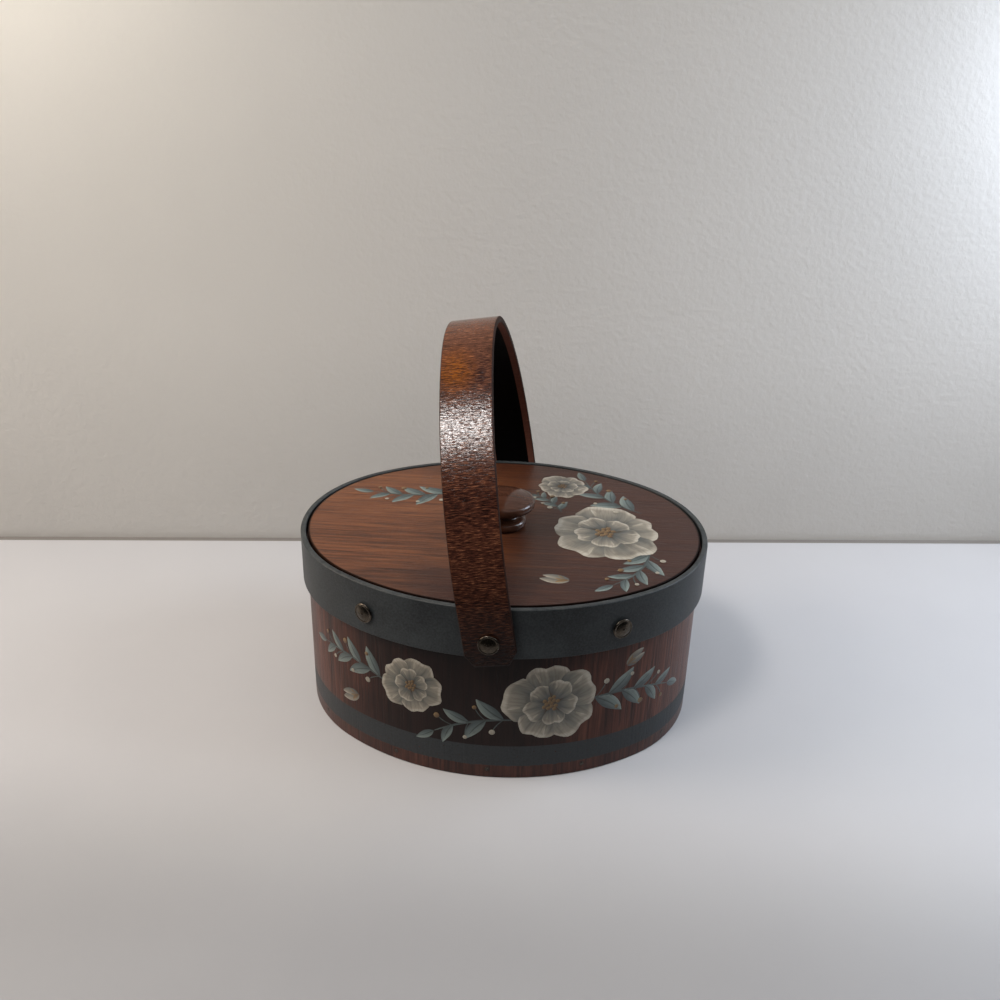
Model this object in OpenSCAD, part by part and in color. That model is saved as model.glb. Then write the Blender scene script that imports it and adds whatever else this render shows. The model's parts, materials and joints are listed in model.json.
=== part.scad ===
// Oval bentwood box with an inset lid, a turned knob and a riveted swing handle.
// The origin is the centre of the footprint on the table. +X runs along the box to the right,
// the front is -Y and +Z is up.

/* [Wall and base] */
// Outside length of the wall
box_l = 247; // [220:1:300]
// Outside width of the wall
box_w = 198; // [170:1:230]
// Height of the wall, which carries the lid on its top edge
wall_h = 112; // [80:1:180]
// Thickness of the bent wall
wall_t = 3.2; // [2.4:0.1:5]
// Thickness of the base panel
base_t = 9; // [7:0.5:16]
// Clearance round the base panel
base_fit = 0.1; // [0.05:0.05:0.5]

/* [Brads] */
// Diameter of a brad's shank
brad_d = 1.5; // [1:0.1:2]
// Diameter of a brad's head
brad_head_d = 2.6; // [2.2:0.1:3.4]
// Thickness of a brad's head
brad_head_t = 0.7; // [0.4:0.1:1.2]
// Length of a brad
brad_l = 15; // [8:0.5:25]
// Height of the brads over the table
brad_z = 6; // [3:0.5:6.5]
// Turn between the brads along a side arc
brad_side_turn = 22; // [12:1:28]
// Turn between the brads along an end arc
brad_end_turn = 38; // [20:1:44]
// Depth of a brad's head under the wall's face
brad_sink = 0.1; // [0.05:0.05:0.3]

/* [Rim band] */
// Thickness of the band round the top of the wall
band_t = 3.3; // [2.4:0.1:5]
// Height of the band
band_h = 31.5; // [27:0.5:50]
// Distance of each band rivet from the middle of the side, along the box
band_rivet_x = 72.5; // [40:0.5:80]
// Drop of the band rivets below the band's top edge
band_rivet_drop = 18.2; // [14:0.2:23]

/* [Lid] */
// Thickness of the lid panel
lid_t = 5.2; // [3:0.2:8]
// Gap between the lid's edge and the band
lid_gap = 1.4; // [0.6:0.1:2.2]
// Depth of the lid's face under the band's top edge
lid_recess = 0.1; // [0:0.1:2]

/* [Knob] */
// Largest diameter of the knob's cap
knob_d = 38.5; // [30:0.5:46]
// Height of the knob over the lid
knob_h = 21.5; // [20:0.5:30]
// Radius of the cap's rounded rim
knob_rim_r = 3.4; // [2:0.2:4]
// Rise of the cap's crown over its rim
knob_crown = 2.4; // [1:0.2:4]
// Slant of the cap's underside, from the neck out to the rim
knob_under = 2.3; // [0.5:0.1:3]
// Diameter of the knob's neck
knob_neck_d = 17; // [12:0.5:20]
// Diameter of the bead at the knob's foot
knob_foot_d = 28.6; // [24:0.2:34]
// Section radius of that bead
knob_bead_r = 3.1; // [2:0.1:3.4]
// Shank diameter of the screw that holds the knob
screw_d = 3.5; // [2.5:0.1:5]
// Length of that screw under the lid's face and into the knob
screw_grip = 13; // [8:0.5:16]
// Head diameter of the screw
screw_head_d = 7; // [6:0.2:9]
// Depth of the screw's countersunk head
screw_head_t = 2.1; // [1.5:0.1:2.8]

/* [Handle] */
// Width of the handle's strip
handle_w = 29; // [20:0.5:40]
// Thickness of the handle's strip
handle_t = 3.8; // [2.5:0.1:6]
// Gap between the handle's leg and the band
handle_gap = 0.6; // [0.4:0.1:2]
// Drop of the handle's pivots below the band's top edge
pivot_drop = 19.3; // [15:0.1:23]
// Straight stretch of each leg above the band's top edge
leg_over = 0.7; // [0.3:0.1:10]
// Room between the folded handle and the end of the band
fold_room = 18.9; // [16:0.1:60]
// Length of each leg below its pivot
foot_l = 14.5; // [10:0.5:20]
// Width of the clip at a foot's corners
foot_clip_w = 4.8; // [0.5:0.1:8]
// Height of the clip at a foot's corners
foot_clip_h = 7.6; // [0.5:0.1:9]
// Lean of the standing handle from upright, towards the left end
handle_lean = 9; // [-30:0.5:30]
// Turn of the handle on the box about its front rivet, clockwise seen from above
handle_turn = 1; // [-1.5:0.1:1.5]

/* [Rivets] */
// Diameter of a rivet's cap
cap_d = 12.2; // [9:0.2:15]
// Height of the cap's dome
cap_h = 2.4; // [1.8:0.1:4]
// Section radius of the cap's rolled rim
cap_rim_r = 0.8; // [0.4:0.05:0.85]
// Section radius of the pip in the middle of the cap
pip_r = 1; // [0.6:0.1:2]
// Height of the pip over the dome
pip_h = 0.35; // [0.1:0.05:0.5]
// Diameter of a rivet's shank
shank_d = 4; // [3:0.1:6]
// Diameter of a burr, the washer inside the wall
burr_d = 9.6; // [8:0.2:14]
// Thickness of a burr
burr_t = 0.9; // [0.5:0.1:2]
// Diameter of a rivet's clinched tail
tail_d = 6.6; // [6.4:0.1:7.8]
// Height of the clinched tail
tail_h = 1.1; // [0.6:0.1:2]
// Radial clearance of every shank in its hole
hole_fit = 0.05; // [0.02:0.01:0.1]
// Clearance under a cap and over a burr on a curved face
seat = 0.05; // [0.02:0.01:0.2]
// Clearance between the handle and the caps that hold it
cap_gap = 0.2; // [0.1:0.05:0.6]

/* [Hidden] */
// The oval has four arcs whose centres make 3-4-5 triangles, so its arcs meet without a corner.
half_l = box_l / 2;
half_w = box_w / 2;
oval_unit = (half_l - half_w) / 2;
end_r = half_w - oval_unit;
end_c = 3 * oval_unit;
side_r = end_r + 5 * oval_unit;
side_c = 4 * oval_unit;
seam_cos = 3 / 5;

lid_top = wall_h + lid_t;
band_top = lid_top + lid_recess;
band_rivet_z = band_top - band_rivet_drop;
pivot_z = band_top - pivot_drop;
band_rivet_turn = asin(band_rivet_x / (side_r + band_t));

// A burr is flat, the wall is hollow there and the handle's turn tilts the burr, so the burr's edge sets
// how near it comes.
wall_in_r = side_r - wall_t;
burr_face = wall_t + burr_d^2 / (8 * wall_in_r) + burr_d / 2 * sin(abs(handle_turn)) + seat;
burr_back = burr_face + burr_t;

// The handle's arch has a crown arc and two shoulder arcs on 8-15-17 triangles.
leg_in = half_w + band_t + handle_gap;
leg_out = leg_in + handle_t;
leg_rise = pivot_drop + leg_over;
arch_h = half_l + band_t + fold_room + handle_t;
arch_unit = (arch_h - leg_rise - leg_out) / 6;
crown_r = leg_out - 9 * arch_unit;
crown_z = leg_rise + 15 * arch_unit;
shoulder_r = leg_out + 8 * arch_unit;
shoulder_c = 8 * arch_unit;
crown_sin = 15 / 17;

knob_r = knob_d / 2;
knob_rim_z = knob_h - knob_crown - knob_rim_r;
knob_flat_r = knob_r - knob_rim_r;
knob_dome_r = (knob_flat_r^2 + knob_crown^2) / (2 * knob_crown);
knob_neck_z = knob_rim_z - knob_rim_r - knob_under;

cap_r = cap_d / 2;
cap_flat_r = cap_r - cap_rim_r;
cap_rise = cap_h - 3 / 2 * cap_rim_r;
cap_dome_r = (cap_flat_r^2 + cap_rise^2) / (2 * cap_rise);

past = 1;
far = 4 * box_l;
$fn = 96;

wall_colour = "#6a3a24";
paint_colour = "#3c4546";
handle_colour = "#54291a";
lid_colour = "#85492a";
knob_colour = "#5c3828";
brass_colour = "#75643f";
steel_colour = "#8a8a88";

// The wall's outside oval, grown outwards or, below zero, inwards.
module oval(grow) {
    seam_x = end_c + (end_r + grow) * seam_cos;
    intersection() {
        translate([0, -side_c]) circle(side_r + grow);
        translate([0, side_c]) circle(side_r + grow);
        square([2 * seam_x, far], center = true);
    }
    for (s = [-1, 1])
        intersection() {
            translate([s * end_c, 0]) circle(end_r + grow);
            translate([s * (seam_x + far / 2), 0]) square(far, center = true);
        }
}

// A strip bent round the oval, between two growths.
module oval_ring(outer, inner, h) {
    linear_extrude(h)
        difference() {
            oval(outer);
            oval(inner);
        }
}

// Puts a child on the wall's outside face, its +Z pointing out of the box: on a side arc,
// where s is 1 at the back and -1 at the front, or on an end arc.
module on_side(s, turn, z) {
    translate([0, -s * side_c, z])
        rotate([0, 90, s * 90 + turn])
            translate([0, 0, side_r])
                children();
}

module on_end(s, turn, z) {
    translate([s * end_c, 0, z])
        rotate([0, 90, (1 - s) * 90 + turn])
            translate([0, 0, end_r])
                children();
}

module at_brads() {
    for (s = [-1, 1])
        for (k = [-1:1]) {
            on_side(s, k * brad_side_turn, brad_z) children();
            on_end(s, k * brad_end_turn, brad_z) children();
        }
}

module at_band_rivets() {
    for (s = [-1, 1])
        for (k = [-1, 1])
            on_side(s, k * band_rivet_turn, band_rivet_z) children();
}

// Turns a child with the handle, about the place where the front rivet enters the wall.
module with_handle() {
    translate([0, -half_w, 0])
        rotate([0, 0, -handle_turn])
            translate([0, half_w, 0])
                children();
}

module at_handle_rivets() {
    for (s = [-1, 1])
        with_handle() on_side(s, 0, pivot_z) children();
}

// A brad, its head just under the wall's face, made larger by a clearance for its hole.
module brad(fit) {
    translate([0, 0, -brad_l]) cylinder(d = brad_d + 2 * fit, h = brad_l - brad_sink);
    translate([0, 0, -brad_sink - brad_head_t]) cylinder(d = brad_head_d + 2 * fit, h = brad_head_t);
}

module brad_hole() {
    brad(hole_fit);
    translate([0, 0, -brad_sink - brad_head_t])
        cylinder(d = brad_head_d + 2 * hole_fit, h = brad_head_t + past);
}

module shank_hole() {
    translate([0, 0, -burr_back])
        cylinder(d = shank_d + 2 * hole_fit, h = burr_back + band_t + past);
}

// A cap: a low dome with a rolled rim and a pip, its underside at z = 0.
module rivet_cap() {
    rotate_extrude() {
        intersection() {
            translate([0, cap_h - cap_dome_r]) circle(cap_dome_r);
            square([cap_flat_r, cap_h]);
        }
        translate([cap_flat_r, cap_rim_r]) circle(cap_rim_r);
        intersection() {
            translate([0, cap_h + pip_h - pip_r]) circle(pip_r);
            square([pip_r, cap_h + pip_h]);
        }
    }
}

// A rivet whose cap starts at the given height over the wall's face and whose tail holds the burr.
module rivet(cap_at) {
    translate([0, 0, cap_at]) rivet_cap();
    translate([0, 0, -burr_back - tail_h]) cylinder(d = shank_d, h = cap_at + burr_back + tail_h + cap_rim_r);
    translate([0, 0, -burr_back - seat - tail_h]) cylinder(d = tail_d, h = tail_h);
}

module burr() {
    translate([0, 0, -burr_back])
        difference() {
            cylinder(d = burr_d, h = burr_t);
            translate([0, 0, -past]) cylinder(d = shank_d + 2 * hole_fit, h = burr_t + 2 * past);
        }
}

module handle_rivet(s) {
    with_handle() on_side(s, 0, pivot_z) rivet(leg_out - half_w + cap_gap);
}

// The region under the handle's arch, across the box and over the pivots, grown or shrunk.
module arch_region(grow) {
    seam_z = crown_z + (crown_r + grow) * crown_sin;
    intersection() {
        translate([-shoulder_c, leg_rise]) circle(shoulder_r + grow);
        translate([shoulder_c, leg_rise]) circle(shoulder_r + grow);
        translate([-far / 2, leg_rise]) square([far, seam_z - leg_rise]);
    }
    intersection() {
        translate([0, crown_z]) circle(crown_r + grow);
        translate([-far / 2, seam_z]) square(far);
    }
    translate([-leg_out - grow, -far]) square([2 * (leg_out + grow), far + leg_rise]);
}

// The strip seen from the front, with its clipped foot.
module strip_face() {
    half = handle_w / 2;
    polygon([
        [-half, arch_h + past],
        [-half, -foot_l + foot_clip_h],
        [-half + foot_clip_w, -foot_l],
        [half - foot_clip_w, -foot_l],
        [half, -foot_l + foot_clip_h],
        [half, arch_h + past]
    ]);
}

module body_wall() {
    color(wall_colour)
        difference() {
            oval_ring(0, -wall_t, wall_h);
            at_brads() brad_hole();
            at_band_rivets() shank_hole();
            at_handle_rivets() shank_hole();
        }
}

module base_panel() {
    color(wall_colour)
        difference() {
            linear_extrude(base_t) oval(-wall_t - base_fit);
            at_brads() brad(hole_fit);
        }
}

module base_brads() {
    color(steel_colour) at_brads() brad(0);
}

module rim_band() {
    color(paint_colour)
        difference() {
            translate([0, 0, band_top - band_h]) oval_ring(band_t, 0, band_h);
            at_band_rivets() shank_hole();
            at_handle_rivets() shank_hole();
        }
}

module band_rivets() {
    color(brass_colour) at_band_rivets() rivet(band_t + seat);
}

module band_rivet_burrs() {
    color(brass_colour) at_band_rivets() burr();
}

module front_handle_rivet() {
    color(brass_colour) handle_rivet(-1);
}

module rear_handle_rivet() {
    color(brass_colour) handle_rivet(1);
}

module handle_rivet_burrs() {
    color(brass_colour) at_handle_rivets() burr();
}

module handle() {
    color(handle_colour)
        with_handle()
            translate([0, 0, pivot_z])
                rotate([0, -handle_lean, 0])
                    difference() {
                        intersection() {
                            rotate([90, 0, 90])
                                linear_extrude(handle_w, center = true)
                                    difference() {
                                        arch_region(0);
                                        arch_region(-handle_t);
                                    }
                            rotate([90, 0, 0])
                                linear_extrude(2 * leg_out + 2 * past, center = true)
                                    strip_face();
                        }
                        rotate([90, 0, 0])
                            cylinder(d = shank_d + 2 * hole_fit, h = 2 * leg_out + 2 * past, center = true);
                    }
}

module lid_panel() {
    color(lid_colour)
        difference() {
            translate([0, 0, wall_h]) linear_extrude(lid_t) oval(-lid_gap);
            knob_screw_at(hole_fit);
        }
}

module knob_profile() {
    translate([knob_flat_r, knob_rim_z]) circle(knob_rim_r);
    intersection() {
        translate([0, knob_h - knob_dome_r]) circle(knob_dome_r);
        translate([0, knob_rim_z]) square([knob_flat_r, knob_h - knob_rim_z]);
    }
    polygon([
        [0, 0],
        [knob_neck_d / 2, 0],
        [knob_neck_d / 2, knob_neck_z],
        [knob_flat_r, knob_rim_z - knob_rim_r],
        [knob_flat_r, knob_rim_z],
        [0, knob_rim_z]
    ]);
    translate([knob_foot_d / 2 - knob_bead_r, knob_bead_r]) circle(knob_bead_r);
    square([knob_foot_d / 2 - knob_bead_r, 2 * knob_bead_r]);
}

module lid_knob() {
    color(knob_colour)
        difference() {
            translate([0, 0, lid_top]) rotate_extrude() knob_profile();
            knob_screw_at(hole_fit);
        }
}

// The screw, its head flush with the lid's underside, made larger by a clearance for its hole.
module knob_screw_at(fit) {
    translate([0, 0, wall_h]) {
        cylinder(d = screw_d + 2 * fit, h = lid_t + screw_grip + fit);
        cylinder(d1 = screw_head_d + 2 * fit, d2 = screw_d + 2 * fit, h = screw_head_t);
    }
}

module knob_screw() {
    color(steel_colour) knob_screw_at(0);
}

body_wall();
base_panel();
base_brads();
rim_band();
band_rivets();
band_rivet_burrs();
front_handle_rivet();
rear_handle_rivet();
handle_rivet_burrs();
handle();
lid_panel();
lid_knob();
knob_screw();
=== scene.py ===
"""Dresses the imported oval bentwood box: bent wall, rim band, riveted swing handle, inset lid and knob.

Lengths are in millimetres in the pieces' classes and become metres where a mesh is made.
Finishes and the stage are in metres throughout.
The front of the box is -Y, its length runs along X and Z is up.
"""

import json
import logging
import math
from collections.abc import Callable, Sequence
from dataclasses import dataclass, field
from enum import Enum

import bmesh
import bpy
import numpy as np
from mathutils import Matrix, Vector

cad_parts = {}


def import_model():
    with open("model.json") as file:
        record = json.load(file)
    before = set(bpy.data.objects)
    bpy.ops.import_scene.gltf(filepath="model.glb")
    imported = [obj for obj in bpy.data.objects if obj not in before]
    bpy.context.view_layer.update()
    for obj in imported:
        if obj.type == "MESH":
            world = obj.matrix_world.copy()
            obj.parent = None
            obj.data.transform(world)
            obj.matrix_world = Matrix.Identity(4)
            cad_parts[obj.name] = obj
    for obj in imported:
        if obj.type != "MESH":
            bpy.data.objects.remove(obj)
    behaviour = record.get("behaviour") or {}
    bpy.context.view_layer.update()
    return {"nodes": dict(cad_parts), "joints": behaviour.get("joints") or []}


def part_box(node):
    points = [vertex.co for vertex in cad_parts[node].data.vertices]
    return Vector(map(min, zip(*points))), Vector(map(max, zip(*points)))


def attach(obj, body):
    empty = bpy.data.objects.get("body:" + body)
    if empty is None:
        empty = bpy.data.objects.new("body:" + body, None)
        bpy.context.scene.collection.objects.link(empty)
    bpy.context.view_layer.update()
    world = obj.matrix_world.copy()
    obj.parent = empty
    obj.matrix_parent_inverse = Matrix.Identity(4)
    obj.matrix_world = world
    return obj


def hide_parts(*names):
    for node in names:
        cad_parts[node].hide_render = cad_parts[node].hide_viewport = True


LOG = logging.getLogger("bentwood_box")
MM = 0.001
WELD = 1e-7
Pair = tuple[float, float]
Triple = tuple[float, float, float]
Rgb = tuple[int, int, int]
Tones = tuple[Rgb, ...]
Socket = bpy.types.NodeSocket
Material = bpy.types.Material
Value = float | Sequence[float] | Socket


class Body(Enum):
    """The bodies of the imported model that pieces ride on."""

    BUCKET = "bucket"
    HANDLE = "handle"
    LID = "lid"


class Axis(Enum):
    """An axis of the frame, by its place in a point."""

    X = 0
    Y = 1
    Z = 2


class Grain(Enum):
    """Which way a piece of wood is cut: how much its pattern is drawn out along x, y and z."""

    ALONG_BOX = (1 / 24, 1, 1)
    UPRIGHT = (1, 1, 1 / 24)
    ACROSS_STRIP = (1 / 10, 1, 1)


def linear(colour: Rgb, alpha: float = 1.0) -> tuple[float, float, float, float]:
    """Turns a colour written as 0 to 255 into the linear values that shaders take.

    Args:
        colour: red, green and blue as seen on a screen.
        alpha: the fourth value.

    Returns:
        The linear red, green and blue with alpha.
    """
    c = np.asarray(colour, float) / 255
    c = np.where(c <= 0.04045, c / 12.92, ((c + 0.055) / 1.055) ** 2.4)
    return (*c.tolist(), alpha)


def smooth(x: np.ndarray, low: float, high: float) -> np.ndarray:
    """Smooth step: 0 below low, 1 above high, 3t^2 - 2t^3 between.

    Args:
        x: values of any shape.
        low: where the step starts.
        high: where it ends.

    Returns:
        The step at each value.
    """
    t = np.clip((x - low) / (high - low), 0, 1)
    return t * t * (3 - 2 * t)


def box_mm(node: str) -> tuple[np.ndarray, np.ndarray]:
    """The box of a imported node, to the nearest micrometre.

    Args:
        node: the node's name.

    Returns:
        Its lowest and highest corners in millimetres.
    """
    low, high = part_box(node)
    return np.round(np.asarray(low) / MM, 3), np.round(np.asarray(high) / MM, 3)


def grid_quads(rows: int, cols: int, wrap_rows: bool, wrap_cols: bool) -> np.ndarray:
    """Faces of a grid of points that is stored row after row.

    Args:
        rows: number of rows of points.
        cols: number of points in a row.
        wrap_rows: whether the last row joins the first.
        wrap_cols: whether the last point of a row joins its first.

    Returns:
        One row of four point numbers for each face.
    """
    r = np.arange(rows if wrap_rows else rows - 1)
    c = np.arange(cols if wrap_cols else cols - 1)
    r, c = np.meshgrid(r, c, indexing="ij")
    r1, c1 = (r + 1) % rows, (c + 1) % cols
    return np.stack([r * cols + c, r1 * cols + c, r1 * cols + c1, r * cols + c1], -1).reshape(-1, 4)


def arc_points(centre: Sequence[float], radius: float, start: float, end: float, count: int) -> np.ndarray:
    """Points on a circle between two angles in degrees.

    Args:
        centre: the circle's centre.
        radius: its radius.
        start: first angle.
        end: last angle.
        count: how many points.

    Returns:
        The points.
    """
    angle = np.radians(np.linspace(start, end, count))
    return np.asarray(centre) + radius * np.stack([np.cos(angle), np.sin(angle)], -1)


def rounded_outline(
    low: Pair,
    high: Pair,
    radii: Sequence[float],
    steps: int = 4,
    pad: float = 0.4,
) -> np.ndarray:
    """Closed outline of a rectangle whose corners are quarter circles, anticlockwise.

    Each arc has a point a little before and after it, so that smooth shading stays near the corner.

    Args:
        low: lowest first and second coordinate.
        high: highest first and second coordinate.
        radii: corner radii: high-low, high-high, low-high and low-low.
        steps: faces in each quarter circle.
        pad: distance of the points before and after an arc.

    Returns:
        The outline's points, one row each.
    """
    corners = [(high[0], low[1]), high, (low[0], high[1]), low]
    inward = [(-1, 1), (-1, -1), (1, -1), (1, 1)]
    parts = []
    for turn, (corner, way, radius) in enumerate(zip(corners, inward, radii)):
        start, end = 90 * (turn - 1), 90 * turn
        centre = np.asarray(corner) + radius * np.asarray(way)
        arc = arc_points(centre, radius, start, end, steps + 1)
        angle = np.radians([start, end])
        first, last = np.stack([-np.sin(angle), np.cos(angle)], -1)
        parts += [arc[:1] - pad * first, arc, arc[-1:] + pad * last]
    return np.concatenate(parts)


def turned(
    outline: np.ndarray,
    base: Sequence[float],
    axis: Sequence[float],
    side: Sequence[float],
    count: int,
) -> tuple[np.ndarray, np.ndarray]:
    """An outline of radius and height turned about an axis, from pole to pole.

    The point at angle a is base + height along the axis + radius * (cos a * side + sin a * (axis x side)).

    Args:
        outline: radius and height of each point, both ends on the axis.
        base: the point at height 0 on the axis.
        axis: direction of the axis, of length 1.
        side: a direction across the axis, of length 1.
        count: steps round the axis.

    Returns:
        Points and faces.
    """
    angle = np.arange(count) / count * 2 * math.pi
    axis, side = np.asarray(axis, float), np.asarray(side, float)
    out = np.cos(angle)[:, None] * side + np.sin(angle)[:, None] * np.cross(axis, side)
    points = outline[None, :, :1] * out[:, None, :] + outline[None, :, 1:] * axis + np.asarray(base, float)
    return points.reshape(-1, 3), grid_quads(count, len(outline), True, False)


@dataclass
class Shape:
    """Points and faces of a piece that is being made, with what its material reads.

    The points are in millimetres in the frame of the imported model.
    """

    points: np.ndarray
    quads: np.ndarray
    uv: np.ndarray | None = None
    floats: dict[str, np.ndarray] = field(default_factory=dict)
    colours: np.ndarray | None = None

    @staticmethod
    def join(shapes: "Sequence[Shape]") -> "Shape":
        """Puts several shapes with the same kinds of data into one.

        Args:
            shapes: the shapes, in order.

        Returns:
            One shape with all their points and faces.
        """
        starts = np.cumsum([0] + [len(s.points) for s in shapes[:-1]])
        return Shape(
            np.concatenate([s.points for s in shapes]),
            np.concatenate([s.quads + start for s, start in zip(shapes, starts)]),
            None if shapes[0].uv is None else np.concatenate([s.uv for s in shapes]),
            {k: np.concatenate([s.floats[k] for s in shapes]) for k in shapes[0].floats},
            None if shapes[0].colours is None else np.concatenate([s.colours for s in shapes]),
        )

    def mesh(self, name: str) -> bpy.types.Mesh:
        """Makes the mesh with its UV map, attributes and paint, and welds its seams and poles.

        Args:
            name: the mesh's name.

        Returns:
            The mesh.
        """
        made = bpy.data.meshes.new(name)
        made.from_pydata((self.points * MM).tolist(), [], self.quads.tolist())
        if self.uv is not None:
            layer = made.uv_layers.new(name="surface")
            layer.data.foreach_set("uv", (self.uv[self.quads.ravel()] * MM).astype(np.float32).ravel())
        for key, values in self.floats.items():
            attribute = made.attributes.new(key, "FLOAT", "POINT")
            attribute.data.foreach_set("value", values.astype(np.float32))
        if self.colours is not None:
            attribute = made.attributes.new("paint", "FLOAT_COLOR", "POINT")
            attribute.data.foreach_set("color", self.colours.astype(np.float32).ravel())
        work = bmesh.new()
        work.from_mesh(made)
        bmesh.ops.remove_doubles(work, verts=work.verts, dist=WELD)
        bmesh.ops.recalc_face_normals(work, faces=work.faces)
        work.to_mesh(made)
        work.free()
        made.shade_smooth()
        return made

    def piece(
        self,
        name: str,
        body: Body,
        slot: str,
        material: Material,
        nodes: Sequence[str] = (),
    ) -> bpy.types.Object:
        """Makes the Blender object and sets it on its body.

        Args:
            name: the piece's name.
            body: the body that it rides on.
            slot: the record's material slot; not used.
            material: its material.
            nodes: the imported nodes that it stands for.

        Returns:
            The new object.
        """
        mesh = self.mesh(name)
        mesh.materials.append(material)
        made = bpy.data.objects.new(name, mesh)
        bpy.context.scene.collection.objects.link(made)
        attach(made, body.value)
        if nodes:
            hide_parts(*nodes)
        LOG.info("piece %s: %d faces, on %s", name, len(mesh.polygons), body.value)
        return made


class Graph:
    """A material's node tree, with one short call for each kind of node that the finishes use."""

    def __init__(self, name: str) -> None:
        """Starts a material with its shader and its output.

        Args:
            name: the material's name.
        """
        self.material = bpy.data.materials.new(name)
        self.material.use_nodes = True
        self.tree = self.material.node_tree
        self.shader = self.tree.nodes["Principled BSDF"]

    def put(self, socket: Socket, value: Value) -> None:
        """Links a socket to a socket, or sets its number or colour.

        Args:
            socket: the input to fill.
            value: another node's output, or the value itself.
        """
        if isinstance(value, Socket):
            self.tree.links.new(value, socket)
        else:
            socket.default_value = value

    def node(self, kind: str, inputs: dict[int | str, Value], **settings: object) -> bpy.types.Node:
        """Adds a node.

        Args:
            kind: its Blender type.
            inputs: values or sockets for its inputs, by number or name.
            settings: its own properties.

        Returns:
            The node.
        """
        made = self.tree.nodes.new(kind)
        for key, value in settings.items():
            setattr(made, key, value)
        for key, value in inputs.items():
            self.put(made.inputs[key], value)
        return made

    def finish(self, **inputs: Value) -> Material:
        """Fills the shader's inputs.

        Args:
            inputs: values or sockets by the inputs' names, with _ for a space.

        Returns:
            The finished material.
        """
        for key, value in inputs.items():
            self.put(self.shader.inputs[key.replace("_", " ")], value)
        return self.material

    def place(self) -> Socket:
        """Object coordinates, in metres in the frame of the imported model."""
        return self.node("ShaderNodeTexCoord", {}).outputs["Object"]

    def surface(self) -> Socket:
        """The piece's own UV map, in metres across and along it."""
        return self.node("ShaderNodeUVMap", {}, uv_map="surface").outputs["UV"]

    def attribute(self, name: str, output: str = "Fac") -> Socket:
        """A value that the mesh carries at its points."""
        return self.node("ShaderNodeAttribute", {}, attribute_name=name).outputs[output]

    def stretch(self, where: Value, scale: Sequence[float]) -> Socket:
        """Coordinates drawn out along the axes."""
        return self.node("ShaderNodeMapping", {"Vector": where, "Scale": scale}).outputs[0]

    def noise(
        self,
        where: Value,
        scale: float,
        detail: float = 3,
        roughness: float = 0.55,
        distortion: float = 0,
    ) -> Socket:
        """Noise from about 0.2 to 0.8.

        Args:
            where: coordinates.
            scale: features per metre.
            detail: octaves.
            roughness: weight of each finer octave.
            distortion: how far the pattern is drawn about.

        Returns:
            The noise's value.
        """
        inputs = {"Vector": where, "Scale": scale, "Detail": detail}
        inputs |= {"Roughness": roughness, "Distortion": distortion}
        return self.node("ShaderNodeTexNoise", inputs).outputs[0]

    def math(self, operation: str, a: Value, b: Value = 0.0) -> Socket:
        """A step on one or two numbers, by Blender's name for it."""
        return self.node("ShaderNodeMath", {0: a, 1: b}, operation=operation).outputs[0]

    def plus(self, a: Value, b: Value) -> Socket:
        """The sum of two numbers."""
        return self.math("ADD", a, b)

    def minus(self, a: Value, b: Value) -> Socket:
        """The first number less the second."""
        return self.math("SUBTRACT", a, b)

    def times(self, a: Value, b: Value) -> Socket:
        """The product of two numbers."""
        return self.math("MULTIPLY", a, b)

    def larger(self, a: Value, b: Value) -> Socket:
        """The larger of two numbers."""
        return self.math("MAXIMUM", a, b)

    def around(self, value: Value, middle: float, reach: float) -> Socket:
        """A number from 0 to 1 made to vary about a middle, over reach in all."""
        return self.plus(self.times(value, reach), middle - reach / 2)

    def blend(self, a: Value, b: Value, share: float) -> Socket:
        """Two numbers in one, with the given share of the first."""
        return self.plus(self.times(a, share), self.times(b, 1 - share))

    def step(self, value: Value, low: float, high: float) -> Socket:
        """A smooth step along a number.

        Args:
            value: the number.
            low: where the step is 0.
            high: where it is 1, which may be the lower number.

        Returns:
            The step's value.
        """
        inputs = {"Value": value, "From Min": min(low, high), "From Max": max(low, high)}
        inputs |= {"To Min": 0.0, "To Max": 1.0} if low < high else {"To Min": 1.0, "To Max": 0.0}
        return self.node("ShaderNodeMapRange", inputs, interpolation_type="SMOOTHSTEP").outputs[0]

    def split(self, where: Value) -> list[Socket]:
        """The x, y and z of a vector."""
        return list(self.node("ShaderNodeSeparateXYZ", {0: where}).outputs)

    def mix(self, share: Value, a: Value, b: Value, blend: str = "MIX") -> Socket:
        """One colour over another.

        Args:
            share: how much of the second colour shows.
            a: the first colour.
            b: the second colour.
            blend: Blender's name for how they mix.

        Returns:
            The mixed colour.
        """
        inputs = {0: share, 6: a, 7: b}
        return self.node("ShaderNodeMix", inputs, data_type="RGBA", blend_type=blend).outputs[2]

    def cover(self, share: Value, under: Value, colour: Rgb) -> Socket:
        """A plain colour laid over another colour."""
        return self.mix(share, under, linear(colour))

    def stain(self, share: Value, under: Value, colour: Rgb) -> Socket:
        """A colour darkened by multiplying it with a plain one."""
        return self.mix(share, under, linear(colour), "MULTIPLY")

    def ramp(self, value: Value, positions: Sequence[float], tones: Tones) -> Socket:
        """Colours along a number.

        Args:
            value: the number.
            positions: where each colour lies, in order.
            tones: the colours.

        Returns:
            The colour at the number.
        """
        made = self.node("ShaderNodeValToRGB", {0: value})
        elements = made.color_ramp.elements
        while len(elements) < len(tones):
            elements.new(0.5)
        for element, position, tone in zip(elements, positions, tones):
            element.position = position
            element.color = linear(tone)
        return made.outputs[0]

    def bump(self, height: Value, depth: float) -> Socket:
        """A normal from heights of 0 to 1, where 1 stands the given depth in metres over 0."""
        return self.node("ShaderNodeBump", {"Height": height, "Distance": depth}).outputs[0]


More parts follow.
